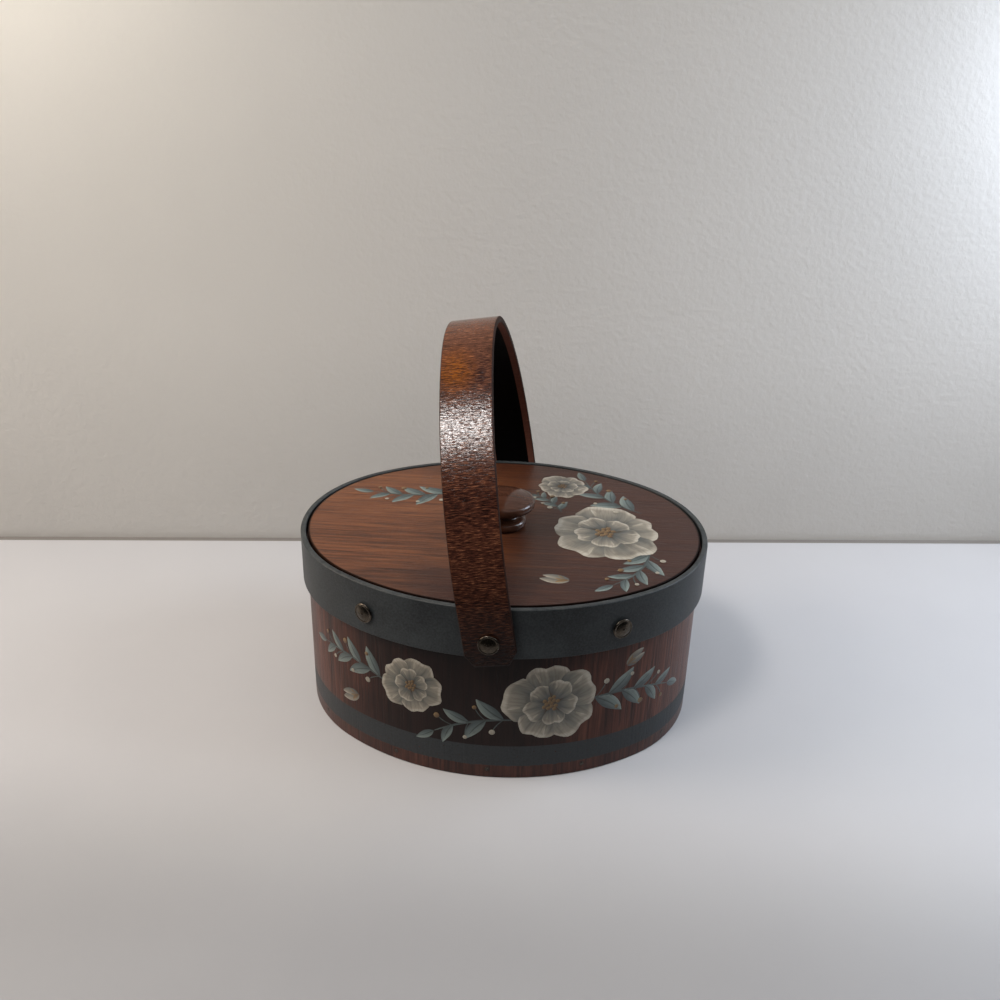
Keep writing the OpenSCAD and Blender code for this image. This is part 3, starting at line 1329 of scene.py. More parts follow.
@dataclass
class Bucket:
    """The fixed body: wall, base, brads, rim band and the rivets with their burrs.

    face_rows gives the lowest and highest of the close rows of points near the wall's foot, and how many.
    band_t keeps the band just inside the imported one's facets. The rubs are how strongly the band's edges are
    marked, from and to which depth. cap_at is how high a rivet's cap stands over the wall's face.
    """

    oval: Oval
    handle_set: HandleSet
    wall_h: float
    band_low: float
    band_top: float
    band_rivet_z: float
    brad_z: float
    brad_r: float
    wall_t: float = 3.2
    wall_foot_r: float = 0.6
    wall_edge_r: float = 0.4
    face_rows: tuple[float, float, int] = (1.4, 40.0, 40)
    band_t: float = 3.26
    band_radii: tuple[float, ...] = (0.5, 0.8, 0.5, 0.3)
    band_steps: int = 5
    upper_rub: float = 0.8
    upper_rub_h: Pair = (0.85, 0.05)
    lower_rub: float = 0.5
    lower_rub_h: float = 0.5
    band_rivet_x: float = 72.5
    band_cap_at: float = 3.35
    handle_cap_at: float = 7.9
    brad_dome_r: float = 10.4
    brad_proud: float = 0.1
    brad_head_h: float = 0.8
    brad_shank_r: float = 0.75
    brad_l: float = 15.0
    brad_side_turn: float = 22.0
    brad_end_turn: float = 38.0
    brad_steps: int = 20
    nail_stain: float = 0.7
    nail_stain_r: Pair = (1.2, 2.2)
    ring_steps: int = 640

    @classmethod
    def packed(cls, oval: Oval, handle_set: HandleSet) -> "Bucket":
        """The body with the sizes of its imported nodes.

        Args:
            oval: the wall's outline.
            handle_set: how the handle sits on it.

        Returns:
            The body.
        """
        band_low, band_high = box_mm("rim_band")
        rivet_low, rivet_high = box_mm("band_rivets")
        brad_low, brad_high = box_mm("base_brads")
        z = Axis.Z.value
        return cls(
            oval,
            handle_set,
            wall_h=box_mm("body_wall")[1][z],
            band_low=band_low[z],
            band_top=band_high[z],
            band_rivet_z=(rivet_low[z] + rivet_high[z]) / 2,
            brad_z=(brad_low[z] + brad_high[z]) / 2,
            brad_r=(brad_high[z] - brad_low[z]) / 2,
        )

    def brad_angles(self) -> np.ndarray:
        """Normals of the brads: three on each side arc and three on each end arc."""
        side, end = np.outer([self.brad_side_turn, self.brad_end_turn], [-1, 0, 1])
        return np.radians(np.concatenate([end, 90 + side, 180 + end, 270 + side]))

    def wall(self, material: Material) -> bpy.types.Object:
        """The bent wall: a rounded upright section carried round the oval, with stains marked at the brads.

        The section has close rows of points near its foot, for the stains.

        Args:
            material: the wall's wood.

        Returns:
            The piece.
        """
        radii = (self.wall_foot_r,) + (self.wall_edge_r,) * 3
        section = rounded_outline((-self.wall_t, 0), (0, self.wall_h), radii)
        levels = np.linspace(*self.face_rows)
        face = np.stack([np.zeros_like(levels), levels], -1)
        split = int(np.argmax(section[:, 1] > self.wall_h / 2))
        section = np.concatenate([section[:split], face, section[split:]])
        points, quads = self.oval.hoop(section, self.ring_steps)
        spots = self.oval.at(self.brad_angles())
        away = np.linalg.norm(points[:, None, :2] - spots[None], axis=-1).min(1)
        full, none = self.nail_stain_r
        nail = self.nail_stain * smooth(-np.hypot(away, points[:, 2] - self.brad_z), -none, -full)
        outside = np.tile(section[:, 0], self.ring_steps) > -self.wall_t / 6
        return Shape(points, quads, floats={"nail": nail * outside}).piece(
            "bent_wall", Body.BUCKET, "wall_wood", material, ["body_wall"]
        )

    def band(self, material: Material) -> bpy.types.Object:
        """The rim band: a rounded section carried round the oval, marked along its rubbed edges.

        Args:
            material: the band's paint.

        Returns:
            The piece.
        """
        low, high = (0.0, self.band_low), (self.band_t, self.band_top)
        section = rounded_outline(low, high, self.band_radii, self.band_steps)
        points, quads = self.oval.hoop(section, self.ring_steps)
        height = section[:, 1]
        start, full = self.upper_rub_h
        upper = self.upper_rub * smooth(height, self.band_top - start, self.band_top - full)
        lower = self.lower_rub * smooth(-height, -self.band_low - self.lower_rub_h, -self.band_low)
        floats = {"edge": np.tile(np.maximum(upper, lower), self.ring_steps)}
        return Shape(points, quads, floats=floats).piece(
            "painted_band", Body.BUCKET, "band_paint", material, ["rim_band"]
        )

    def brads(self, material: Material) -> bpy.types.Object:
        """The brads: twelve low domes with shanks along the wall's normals, nearly flush with its face.

        Args:
            material: the brads' steel.

        Returns:
            The piece.
        """
        dome_end = 90 - math.degrees(math.asin(self.brad_r / self.brad_dome_r))
        dome = arc_points((0, self.brad_proud - self.brad_dome_r), self.brad_dome_r, 90, dome_end, 5)
        under, shank_r = -self.brad_head_h, self.brad_shank_r
        shank = [(self.brad_r, under), (shank_r, under), (shank_r, -self.brad_l), (0, -self.brad_l)]
        outline = np.concatenate([dome, shank])
        made = []
        for angle in self.brad_angles():
            base, axis = self.oval.normal_at(angle, self.brad_z)
            made.append(Shape(*turned(outline, base, axis, (0, 0, 1), self.brad_steps)))
        return Shape.join(made).piece("brad_heads", Body.BUCKET, "steel", material, ["base_brads"])

    def rivets(self, form: RivetForm, material: Material) -> None:
        """The four band rivets as one piece, and the two that the handle turns on.

        Args:
            form: the rivets' shape.
            material: their brass.
        """
        turn = math.asin(self.band_rivet_x / (self.oval.side_r + self.band_t))
        made = []
        for middle in (math.pi / 2, -math.pi / 2):
            for angle in (middle - turn, middle + turn):
                made.append(form.shape(self.band_cap_at, *self.oval.normal_at(angle, self.band_rivet_z)))
        Shape.join(made).piece("band_rivet_set", Body.BUCKET, "brass", material, ["band_rivets"])
        for name, node, way in (
            ("rivet_front", "front_handle_rivet", -1),
            ("rivet_rear", "rear_handle_rivet", 1),
        ):
            base = self.handle_set.at((0, way * self.oval.half_width, self.handle_set.pivot_z))
            shape = form.shape(self.handle_cap_at, base, self.handle_set.ways((0, way, 0)))
            shape.piece(name, Body.BUCKET, "brass", material, [node])


@dataclass
class Handle:
    """The swing handle: one strip carried along a leg, a shoulder arc and half the crown, and back down.

    The arcs' centres are the corners of an 8-15-17 triangle, so the shoulder turns into the crown where the
    normal's tangent is 15/8. Heights are over the pivot, and foot_l is how far a leg reaches below it. The
    marks say how far the sides, ends and inner face reach into the strip for its finish.
    """

    handle_set: HandleSet
    lean: float = 9.0
    width: float = 29.0
    thick: float = 3.8
    leg_out: float = 106.7
    leg_rise: float = 20.0
    foot_l: float = 14.5
    clip_w: float = 4.8
    clip_h: float = 7.6
    arch_h: float = 149.5
    edge_r: float = 0.6
    side_mark: Pair = (0.75, 0.1)
    end_mark: float = 1.0
    inner_mark: float = 0.3
    spacing: float = 1.0

    @property
    def unit(self) -> float:
        """The length that the arcs' centres and radii are built from."""
        return (self.arch_h - self.leg_rise - self.leg_out) / 6

    @property
    def shoulder_turn(self) -> float:
        """The angle of a shoulder arc."""
        return math.atan2(15, 8)

    @property
    def shoulder_r(self) -> float:
        """Radius of the shoulders at the strip's middle line."""
        return self.leg_out + 8 * self.unit - self.thick / 2

    @property
    def crown_r(self) -> float:
        """Radius of the crown at the strip's middle line."""
        return self.leg_out - 9 * self.unit - self.thick / 2

    @property
    def length(self) -> float:
        """Length of the strip along its middle line."""
        crown = self.crown_r * (math.pi / 2 - self.shoulder_turn)
        return 2 * (self.foot_l + self.leg_rise + self.shoulder_r * self.shoulder_turn + crown)

    def path(self, along: np.ndarray) -> tuple[np.ndarray, np.ndarray]:
        """The strip's middle line over the front half, mirrored for the rear half.

        The line runs up the leg, then round the shoulder's circle, then round the crown's circle to the top.

        Args:
            along: distances from the front foot.

        Returns:
            y and z over the pivot, and the outward normals.
        """
        leg = self.foot_l + self.leg_rise
        shoulder_end = leg + self.shoulder_r * self.shoulder_turn
        rear = along > self.length / 2
        s = np.where(rear, self.length - along, along)
        phi = np.clip((s - leg) / self.shoulder_r, 0, self.shoulder_turn)
        phi = phi + np.maximum(s - shoulder_end, 0) / self.crown_r
        crown = s > shoulder_end
        radius = np.where(crown, self.crown_r, self.shoulder_r)
        y = np.where(crown, 0, 8 * self.unit) - radius * np.cos(phi)
        z = self.leg_rise + np.where(crown, 15 * self.unit, 0) + radius * np.sin(phi)
        z = np.where(s < leg, s - self.foot_l, z)
        way = np.where(rear, -1, 1)
        return np.stack([way * y, z], -1), np.stack([-way * np.cos(phi), np.sin(phi)], -1)

    def rows(self) -> np.ndarray:
        """Distances from the front foot of the rows of points: close at the feet's rounded ends, then even.

        Returns:
            The distances, in order.
        """
        near = np.concatenate([[0, 0], self.edge_r * np.array([0.08, 0.3, 0.6, 1.0, 1.6]), [self.clip_h]])
        count = int(self.length / self.spacing)
        middle = np.linspace(self.clip_h, self.length - self.clip_h, count)[1:-1]
        return np.concatenate([near, middle, self.length - near[::-1]])

    def section(self, end: np.ndarray) -> tuple[np.ndarray, np.ndarray, np.ndarray]:
        """The strip's rounded section in each row: narrower at the clipped feet and drawn in at their ends.

        Args:
            end: each row's distance from the nearer foot.

        Returns:
            The section's outline, and each point's place across the strip and through it.
        """
        r, middle = self.edge_r, np.array([self.width / 2, self.thick / 2])
        outline = rounded_outline(-middle, middle, (r,) * 4)
        inset = r - np.sqrt(np.maximum(r**2 - (r - np.minimum(end, r)) ** 2, 0))
        half = self.width / 2 - self.clip_w * np.maximum(1 - end / self.clip_h, 0)
        sign, corner = np.sign(outline), middle - np.abs(outline)
        across = sign[:, 0] * (half[:, None] - corner[:, 0] - inset[:, None])
        through = sign[:, 1] * np.maximum(self.thick / 2 - corner[:, 1] - inset[:, None], 0)
        through[[0, -1]] = 0
        return outline, across, through

    def strip(self, material: Material) -> bpy.types.Object:
        """The strip: its section carried along the path, leaned over and turned as the handle is set.

        Its sides and ends are marked as edge, and its inner face as inner.

        Args:
            material: the handle's wood.

        Returns:
            The piece.
        """
        along = self.rows()
        end = np.minimum(along, self.length - along)
        outline, x, through = self.section(end)
        place, normal = self.path(along)
        y, z = np.moveaxis(place[:, None, :] + through[..., None] * normal[:, None, :], -1, 0)
        c, s = math.cos(math.radians(self.lean)), math.sin(math.radians(self.lean))
        points = np.stack([c * x - s * z, y, s * x + c * z + self.handle_set.pivot_z], -1)
        uv = np.stack([x, np.broadcast_to(along[:, None], x.shape)], -1)
        start, full = self.side_mark
        edge = smooth(np.abs(outline[:, 0]), self.width / 2 - start, self.width / 2 - full)
        edge = np.maximum(np.broadcast_to(edge, x.shape), smooth(-end, -self.end_mark, 0)[:, None])
        inner = np.broadcast_to(outline[:, 1] < self.inner_mark - self.thick / 2, x.shape)
        return Shape(
            self.handle_set.at(points.reshape(-1, 3)),
            grid_quads(len(along), len(outline), False, True),
            uv.reshape(-1, 2),
            {"edge": edge.ravel(), "inner": inner.astype(float).ravel()},
        ).piece("bent_handle", Body.HANDLE, "handle_wood", material, ["handle"])


@dataclass
class Lid:
    """The lid that lifts off: the inset panel, the turned knob and its screw.

    gap is how far the panel's edge stands inside the wall's outside outline. The knob's neck ends in a cove
    of cove_r at either end, the upper one cove_drop radii below the undercut.
    """

    oval: Oval
    low: float
    top: float
    gap: float
    knob_h: float
    edge_r: float = 0.5
    knob_r: float = 19.25
    rim_r: float = 3.4
    crown: float = 2.4
    under: float = 2.3
    neck_r: float = 8.5
    cove_r: float = 1.6
    cove_drop: float = 0.72
    foot_r: float = 14.3
    bead_r: float = 3.1
    # share of painted shade on the panel's rounded edge, where the gap round the lid lies in shadow
    gap_shade: float = 0.9
    ring_steps: int = 480
    knob_steps: int = 96

    @classmethod
    def packed(cls, oval: Oval) -> "Lid":
        """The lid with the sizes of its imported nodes.

        Args:
            oval: the wall's outline.

        Returns:
            The lid.
        """
        low, high = box_mm("lid_panel")
        knob_low, knob_high = box_mm("lid_knob")
        y, z = Axis.Y.value, Axis.Z.value
        return cls(
            oval,
            low=low[z],
            top=high[z],
            gap=oval.half_width - high[y],
            knob_h=knob_high[z] - knob_low[z],
        )

    def panel(self, material: Material) -> bpy.types.Object:
        """The panel: rounds of the oval drawn in to its middle, with a rounded edge from top to underside that
        is marked for painted shade.

        Args:
            material: the lid's wood.

        Returns:
            The piece.
        """
        r = self.edge_r
        share = np.array([0, 0.25, 0.5, 0.75, 0.93, 0.985, 0.993])
        upper = arc_points((-r, self.top - r), r, 90, 0, 6)
        lower = arc_points((-r, self.low + r), r, 0, -90, 6)
        rim = np.concatenate([upper, lower])
        angle = self.oval.ring(self.ring_steps)
        flat = share[None, :, None] * self.oval.at(angle, -self.gap - r)[:, None, :]
        edge = self.oval.at(angle[:, None], rim[None, :, 0] - self.gap)
        xy = np.concatenate([flat, edge, flat[:, ::-1]], 1)
        z = np.concatenate([np.full(len(share), self.top), rim[:, 1], np.full(len(share), self.low)])
        points = np.concatenate([xy, np.broadcast_to(z, xy.shape[:2])[..., None]], -1)
        # the rim attribute marks the rounded edge for painted shade
        gap_shade = np.zeros(len(z))
        gap_shade[len(share):-len(share)] = self.gap_shade
        return Shape(
            points.reshape(-1, 3),
            grid_quads(self.ring_steps, len(z), True, False),
            floats={"rim": np.tile(gap_shade, self.ring_steps)},
        ).piece("inset_lid", Body.LID, "lid_wood", material, ["lid_panel"])

    def knob(self, material: Material) -> bpy.types.Object:
        """The knob: bead, neck, undercut and domed cap in one outline, turned about the lid's middle.

        Args:
            material: the knob's wood.

        Returns:
            The piece.
        """
        rim_z = self.knob_h - self.crown - self.rim_r
        flat_r = self.knob_r - self.rim_r
        dome_r = (flat_r**2 + self.crown**2) / (2 * self.crown)
        cove_x = self.neck_r + self.cove_r
        bead = arc_points((self.foot_r - self.bead_r, self.bead_r), self.bead_r, -90, 90, 18)
        neck_low = arc_points((cove_x, 2 * self.bead_r + self.cove_r), self.cove_r, -90, -180, 7)
        lift = math.degrees(math.atan2(self.under, flat_r - self.neck_r))
        neck_z = rim_z - self.rim_r - self.under
        cove_z = neck_z - self.cove_drop * self.cove_r
        neck_high = arc_points((cove_x, cove_z), self.cove_r, 180, 90 + lift, 7)
        rim = arc_points((flat_r, rim_z), self.rim_r, lift / 2 - 90, 90, 16)
        r = np.linspace(flat_r, 0, 14)[1:]
        cap = np.stack([r, self.knob_h - dome_r + np.sqrt(dome_r**2 - r**2)], -1)
        outline = np.concatenate([[(0, 0)], bead, neck_low, neck_high, rim, cap])
        points, quads = turned(outline, (0, 0, self.top), (0, 0, 1), (1, 0, 0), self.knob_steps)
        return Shape(points, quads).piece("turned_knob", Body.LID, "knob_wood", material, ["lid_knob"])


@dataclass(frozen=True, kw_only=True)
class Touch:
    """One touch of the brush: a thin closed lens of paint, drawn out from a start to an end.

    A point of it has a from 0 to 1 along the touch and c round the lens: it lies cos c of the half width to
    the side, and sin c heights over the lens's edge, or just into the surface under it. lift is the height of
    that edge, and tones run from the colour at the touch's start to that at its end.
    """

    tones: Tones
    lift: float
    height: float
    rows: int = 20
    cols: int = 20
    sunk: float = 0.05
    tone_start: float = 0.05
    tone_along: float = 0.62
    tone_aside: float = 0.42

    def swell(self, a: np.ndarray) -> np.ndarray:
        """How full the touch is along its length, 0 at both ends."""
        raise NotImplementedError

    def flat(self, a: np.ndarray, side: np.ndarray) -> tuple[np.ndarray, np.ndarray]:
        """Places in the layout.

        Args:
            a: shares of the length, as a column.
            side: shares of the half width, as a row.

        Returns:
            Layout coordinates, and distances across and along the touch.
        """
        raise NotImplementedError

    def blend(self, a: np.ndarray, side: np.ndarray) -> np.ndarray:
        """Where in the tones each point lies, from 0 to 1: further on along the touch and to its left."""
        return np.clip(self.tone_along * a + self.tone_aside * side + self.tone_start, 0, 1)

    def shape(self, place: Callable[[np.ndarray, np.ndarray], np.ndarray]) -> Shape:
        """The touch as a mesh on the surface that is painted.

        Args:
            place: maps layout coordinates and heights to points on that surface.

        Returns:
            The touch's shape.
        """
        a = ((1 - np.cos(np.linspace(0, math.pi, self.rows))) / 2)[:, None]
        c = (np.arange(self.cols) / self.cols * 2 * math.pi)[None, :]
        flat, uv = self.flat(a, np.cos(c))
        up = np.where(np.sin(c) > 0, self.height, self.lift + self.sunk) * np.sin(c)
        rise = up * np.minimum(2 * self.swell(a), 1)
        points = place(flat.reshape(-1, 2), (self.lift + rise).ravel())
        stops = np.linspace(0, 1, len(self.tones))
        tones = np.array([linear(tone) for tone in self.tones])
        share = self.blend(a, np.cos(c)).ravel()
        colours = np.stack([np.interp(share, stops, channel) for channel in tones.T], -1)
        return Shape(points, grid_quads(self.rows, self.cols, False, True), uv.reshape(-1, 2), {}, colours)


@dataclass(frozen=True, kw_only=True)
class Stroke(Touch):
    """A touch along a bent line of three guide points, widest at belly."""

    line: np.ndarray
    width: float
    belly: float = 0.5
    fullness: float = 0.7

    def swell(self, a: np.ndarray) -> np.ndarray:
        """The sine of a half turn, bent so that its top lies at belly, to the power fullness."""
        bent = a ** (math.log(0.5) / math.log(self.belly))
        return np.maximum(np.sin(math.pi * bent), 0) ** self.fullness

    def flat(self, a: np.ndarray, side: np.ndarray) -> tuple[np.ndarray, np.ndarray]:
        """Places on the quadratic curve that the guide points draw, set off along its normal.

        Args:
            a: shares of the length, as a column.
            side: shares of the half width, as a row.

        Returns:
            Layout coordinates, and distances across and along the stroke.
        """
        p0, p1, p2 = self.line
        centre = (1 - a) ** 2 * p0 + 2 * a * (1 - a) * p1 + a**2 * p2
        ahead = (1 - a) * (p1 - p0) + a * (p2 - p1)
        ahead /= np.linalg.norm(ahead, axis=1, keepdims=True)
        normal = np.stack([-ahead[:, 1], ahead[:, 0]], -1)
        across = self.width / 2 * self.swell(a) * side
        along = np.linalg.norm(p2 - p0) * a
        flat = centre[:, None, :] + across[..., None] * normal[:, None, :]
        return flat, np.stack([across, np.broadcast_to(along, across.shape)], -1)


@dataclass(frozen=True, kw_only=True)
class Petal(Touch):
    """A broad petal: a fan from the heart of a blossom with a notched and rippled end.

    wave shifts the ripples, veins and fold, so that no two petals are alike.
    """

    middle: Pair
    angle: float
    reach: float
    spread: float
    wave: float

    def swell(self, a: np.ndarray) -> np.ndarray:
        """Full nearly to the end."""
        return np.maximum(1 - np.abs(2 * a - 1) ** 6, 0)

    def flat(self, a: np.ndarray, side: np.ndarray) -> tuple[np.ndarray, np.ndarray]:
        """Places in the fan: polar about the heart, at reach * a * (1 - 0.2 side^2 + a^2 (ripple - notch)).

        The fan's half angle is widest near two thirds of the reach.

        Args:
            a: shares of the reach, as a column.
            side: shares of the half angle, as a row.

        Returns:
            Layout coordinates, and distances across and along the petal.
        """
        notch = 0.09 * np.exp(-((side / 0.24) ** 2))
        ripple = 0.022 * np.sin(5 * side + self.wave) + 0.007 * np.sin(13 * side + 2 * self.wave)
        radius = self.reach * a * (1 - 0.2 * side**2 + a**2 * (ripple - notch))
        turn = self.angle + side * self.spread * (0.72 + 0.7 * a - 0.52 * a**3)
        flat = np.stack([np.cos(turn), np.sin(turn)], -1) * radius[..., None] + np.asarray(self.middle)
        return flat, np.stack([side * self.spread * self.reach * (0.3 + 0.5 * a), radius], -1)

    def blend(self, a: np.ndarray, side: np.ndarray) -> np.ndarray:
        """Dark by the heart and light to a bright end, shaded on one side and along a fold, faintly veined.

        Args:
            a: shares of the reach, as a column.
            side: shares of the half angle, as a row.

        Returns:
            Where in the tones each point lies, from 0 to 1.
        """
        open_part = smooth(a, 0.15, 0.6)
        shade = 0.42 * smooth(side, 0.25, 1.0) + 0.16 * smooth(-side, 0.5, 1.0)
        crease = (side + 0.32 + 0.2 * math.sin(self.wave)) / 0.2
        fold = 0.2 * np.exp(-(crease**2)) * open_part
        veins = 0.05 * np.sin(21 * side + self.wave + 3 * a) * open_part
        end = 0.24 * smooth(a, 0.84, 0.95)
        return np.clip(0.8 * smooth(a, -0.02, 1.0) ** 0.8 - shade - fold + veins + end, 0, 1)


@dataclass
class Painting:
    """A plain garden pattern of five-petalled blossoms, leaf sprays and berries, painted on one surface.

    place maps layout coordinates and heights, in millimetres, to points on that surface.
    """

    place: Callable[[np.ndarray, np.ndarray], np.ndarray]
    cream: Tones = ((62, 50, 34), (76, 78, 76), (106, 103, 94), (137, 130, 117), (174, 167, 153))
    bright: Tones = ((139, 132, 118), (177, 171, 156))
    leaf: Tones = ((60, 70, 71), (98, 110, 107), (130, 141, 134))
    vein: Tones = ((44, 52, 52), (74, 86, 84))
    ochre: Tones = ((84, 60, 36), (141, 115, 77))
    touches: list[Touch] = field(default_factory=list)

    @staticmethod
    def line(start: Sequence[float], angle: float, length: float, bend: float) -> np.ndarray:
        """A bent line of three guide points: its middle guide stands aside by bend times its length.

        Args:
            start: where it begins.
            angle: its direction in radians.
            length: distance between its ends.
            bend: how far it bows to the left.

        Returns:
            The three guide points.
        """
        ahead = np.array([math.cos(angle), math.sin(angle)])
        aside = np.array([-ahead[1], ahead[0]])
        start = np.asarray(start, float)
        return np.stack([start, start + ahead * length / 2 + aside * bend * length, start + ahead * length])

    def stroke(
        self,
        line: np.ndarray,
        width: float,
        tones: Tones,
        lift: float,
        height: float,
        **form: float,
    ) -> None:
        """Lays one stroke along a line.

        Args:
            line: its three guide points.
            width: its greatest width.
            tones: its colours.
            lift: height of its edge.
            height: how far it stands over its edge.
            form: its belly and fullness, where they aren't the usual ones.
        """
        self.touches.append(Stroke(tones=tones, lift=lift, height=height, line=line, width=width, **form))

    def petal(self, middle: Pair, radius: float, turn: float, number: int) -> None:
        """Lays one petal of a blossom, with a light stroke on it.

        Args:
            middle: the blossom's heart.
            radius: reach of the outer petals.
            turn: direction of the first petal in degrees.
            number: the petal's place, from 0 to 4 among the outer ones and on to 9 among the inner ones.
        """
        inner = number // 5
        angle = math.radians(turn + 72 * number + 36 * inner)
        reach = radius * (1 - 0.42 * inner) * (1 + 0.07 * math.sin(2.4 * number + turn))
        lift = 0.025 * number
        self.touches.append(
            Petal(
                tones=self.cream,
                lift=0.02 + lift,
                height=0.1,
                rows=34,
                cols=40,
                middle=middle,
                angle=angle,
                reach=reach,
                spread=0.75 - 0.1 * inner,
                wave=1.7 * number + turn,
            )
        )
        out = np.array([math.cos(angle + 0.3), math.sin(angle + 0.3)])
        line = self.line(middle + 0.55 * reach * out, angle + 0.25, 0.32 * reach, -0.2)
        self.stroke(line, 0.09 * reach, self.bright, 0.08 + lift, 0.05, belly=0.6)

    def blossom(self, middle: Pair, radius: float, turn: float) -> None:
        """Five broad petals and five smaller ones on them, round a heart of ochre dots set in a spiral.

        Args:
            middle: where it is in the layout.
            radius: reach of the petals.
            turn: direction of the first petal in degrees.
        """
        for number in range(10):
            self.petal(middle, radius, turn, number)
        for k in range(13):
            angle, reach = 2.4 * k, 0.05 * radius * math.sqrt(k)
            place = (middle[0] + reach * math.cos(angle), middle[1] + reach * math.sin(angle))
            self.dot(place, 0.09 * radius, self.ochre)

    def dot(self, middle: Sequence[float], size: float, tones: Tones) -> None:
        """A round touch of the brush.

        Args:
            middle: where it is.
            size: its diameter.
            tones: its colours.
        """
        line = self.line((middle[0], middle[1] - size / 2), math.pi / 2, size, 0)
        self.stroke(line, size, tones, 0.3, 0.08, fullness=0.5)

    def bud(self, foot: Pair, angle: float, size: float) -> None:
        """A closed bud: two cream strokes side by side in an ochre cup.

        Args:
            foot: its lower end in the layout.
            angle: direction of its tip in degrees.
            size: its length.
        """
        way = math.radians(angle)
        for off, bend, length, width, lift in ((0.12, 0.1, 1, 0.42, 0.02), (-0.12, -0.1, 0.94, 0.34, 0.06)):
            half = self.line(foot, way + off, length * size, bend)
            self.stroke(half, width * size, self.cream[1:], lift, 0.12, belly=0.42)
        for off in (-0.5, 0.0, 0.5):
            cup = self.line(foot, way + off, 0.5 * size, -0.3 * off)
            self.stroke(cup, 0.16 * size, self.ochre, 0.1, 0.08)

    def leaf_at(self, start: Sequence[float], angle: float, length: float, bend: float) -> None:
        """A leaf: one broad two-toned stroke and a thin vein.

        Args:
            start: its stalk's end.
            angle: its direction in radians.
            length: its length.
            bend: how far it bows.
        """
        blade = self.line(start, angle, length, bend)
        self.stroke(blade, 0.38 * length, self.leaf, 0.01, 0.07, belly=0.45, fullness=0.85)
        rib = self.line(start, angle, 0.86 * length, bend)
        self.stroke(rib, 0.05 * length, self.vein, 0.06, 0.04, belly=0.3)

    def spray(self, start: Pair, angle: float, length: float, bend: float, pairs: int, leaf: float) -> None:
        """A bent stem with leaves on both sides, a leaf at its end, and berries and cream specks between.

        Args:
            start: where the stem begins.
            angle: its direction in degrees.
            length: its length.
            bend: how far it bows.
            pairs: leaves on each side.
            leaf: length of the first leaf.
        """
        stem = self.line(start, math.radians(angle), length, bend)
        p0, p1, p2 = stem
        self.stroke(stem, 1.6, self.vein, 0.0, 0.07, belly=0.4, fullness=0.4)
        for k in range(2 * pairs):
            t = 0.1 + 0.84 * k / (2 * pairs)
            at = (1 - t) ** 2 * p0 + 2 * t * (1 - t) * p1 + t**2 * p2
            ahead = (1 - t) * (p1 - p0) + t * (p2 - p1)
            way = math.atan2(ahead[1], ahead[0])
            side = 1 if k % 2 else -1
            self.leaf_at(at, way + side * 0.72, leaf * (1 - 0.45 * t), -side * 0.12)
            tip = way - side * (0.9 + 0.2 * math.sin(k))
            twig = self.line(at, tip, 0.5 * leaf, side * 0.15)
            self.stroke(twig, 0.7, self.vein, 0.0, 0.05, fullness=0.4)
            self.dot(twig[2], 2.6 if k % 3 else 3.6, self.ochre if k % 2 else self.bright)
        ahead = p2 - p1
        self.leaf_at(p2, math.atan2(ahead[1], ahead[0]), 0.6 * leaf, 0.05)

    def piece(self, name: str, body: Body, slot: str, material: Material) -> bpy.types.Object:
        """All the touches as one piece.

        Args:
            name: the piece's name.
            body: the body that it rides on.
            slot: the record's slot of what it is painted on.
            material: the paint.

        Returns:
            The piece.
        """
        shapes = [touch.shape(self.place) for touch in self.touches]
        return Shape.join(shapes).piece(name, body, slot, material)


def paint_lid(top: float, material: Material) -> None:
    """Paints the pattern on the lid, where the layout's x and y are the lid's own.

    Args:
        top: height of the lid's face.
        material: the paint.
    """

    def place(flat: np.ndarray, height: np.ndarray) -> np.ndarray:
        """Points over the lid's face."""
        return np.concatenate([flat, (top + height)[:, None]], 1)

    lid = Painting(place)
    lid.spray(start=(90, -24), angle=-118, length=50, bend=0.22, pairs=3, leaf=22)
    lid.spray(start=(88, 26), angle=128, length=60, bend=0.2, pairs=3, leaf=24)
    lid.spray(start=(36, 22), angle=128, length=34, bend=-0.2, pairs=3, leaf=14)
    lid.spray(start=(-34, 44), angle=186, length=56, bend=0.16, pairs=3, leaf=24)
    lid.bud(foot=(42, -66), angle=170, size=17)
    lid.bud(foot=(-28, 54), angle=150, size=15)
    lid.blossom(middle=(64, -4), radius=36, turn=18)
    lid.blossom(middle=(36, 62), radius=18, turn=50)
    lid.piece("lid_painting", Body.LID, "lid_wood", material)


def paint_wall(oval: Oval, material: Material) -> None:
    """Paints the pattern on the front of the wall.

    The layout's x runs along the wall from the middle of the front, and its y is the height.

    Args:
        oval: the wall's outline.
        material: the paint.
    """

    def place(flat: np.ndarray, height: np.ndarray) -> np.ndarray:
        """Points over the wall's face."""
        return np.concatenate([oval.at(oval.angle_at(flat[:, 0]), height), flat[:, 1:]], 1)

    wall = Painting(place)
    wall.spray(start=(56, 52), angle=-8, length=62, bend=0.14, pairs=3, leaf=24)
    wall.spray(start=(14, 42), angle=196, length=48, bend=-0.16, pairs=2, leaf=22)
    wall.spray(start=(-62, 54), angle=172, length=52, bend=-0.14, pairs=3, leaf=21)
    wall.bud(foot=(-84, 36), angle=200, size=15)
    wall.bud(foot=(82, 70), angle=30, size=14)
    wall.blossom(middle=(36, 53), radius=28, turn=100)
    wall.blossom(middle=(-46, 57), radius=20, turn=66)
    wall.piece("wall_painting", Body.BUCKET, "wall_wood", material)


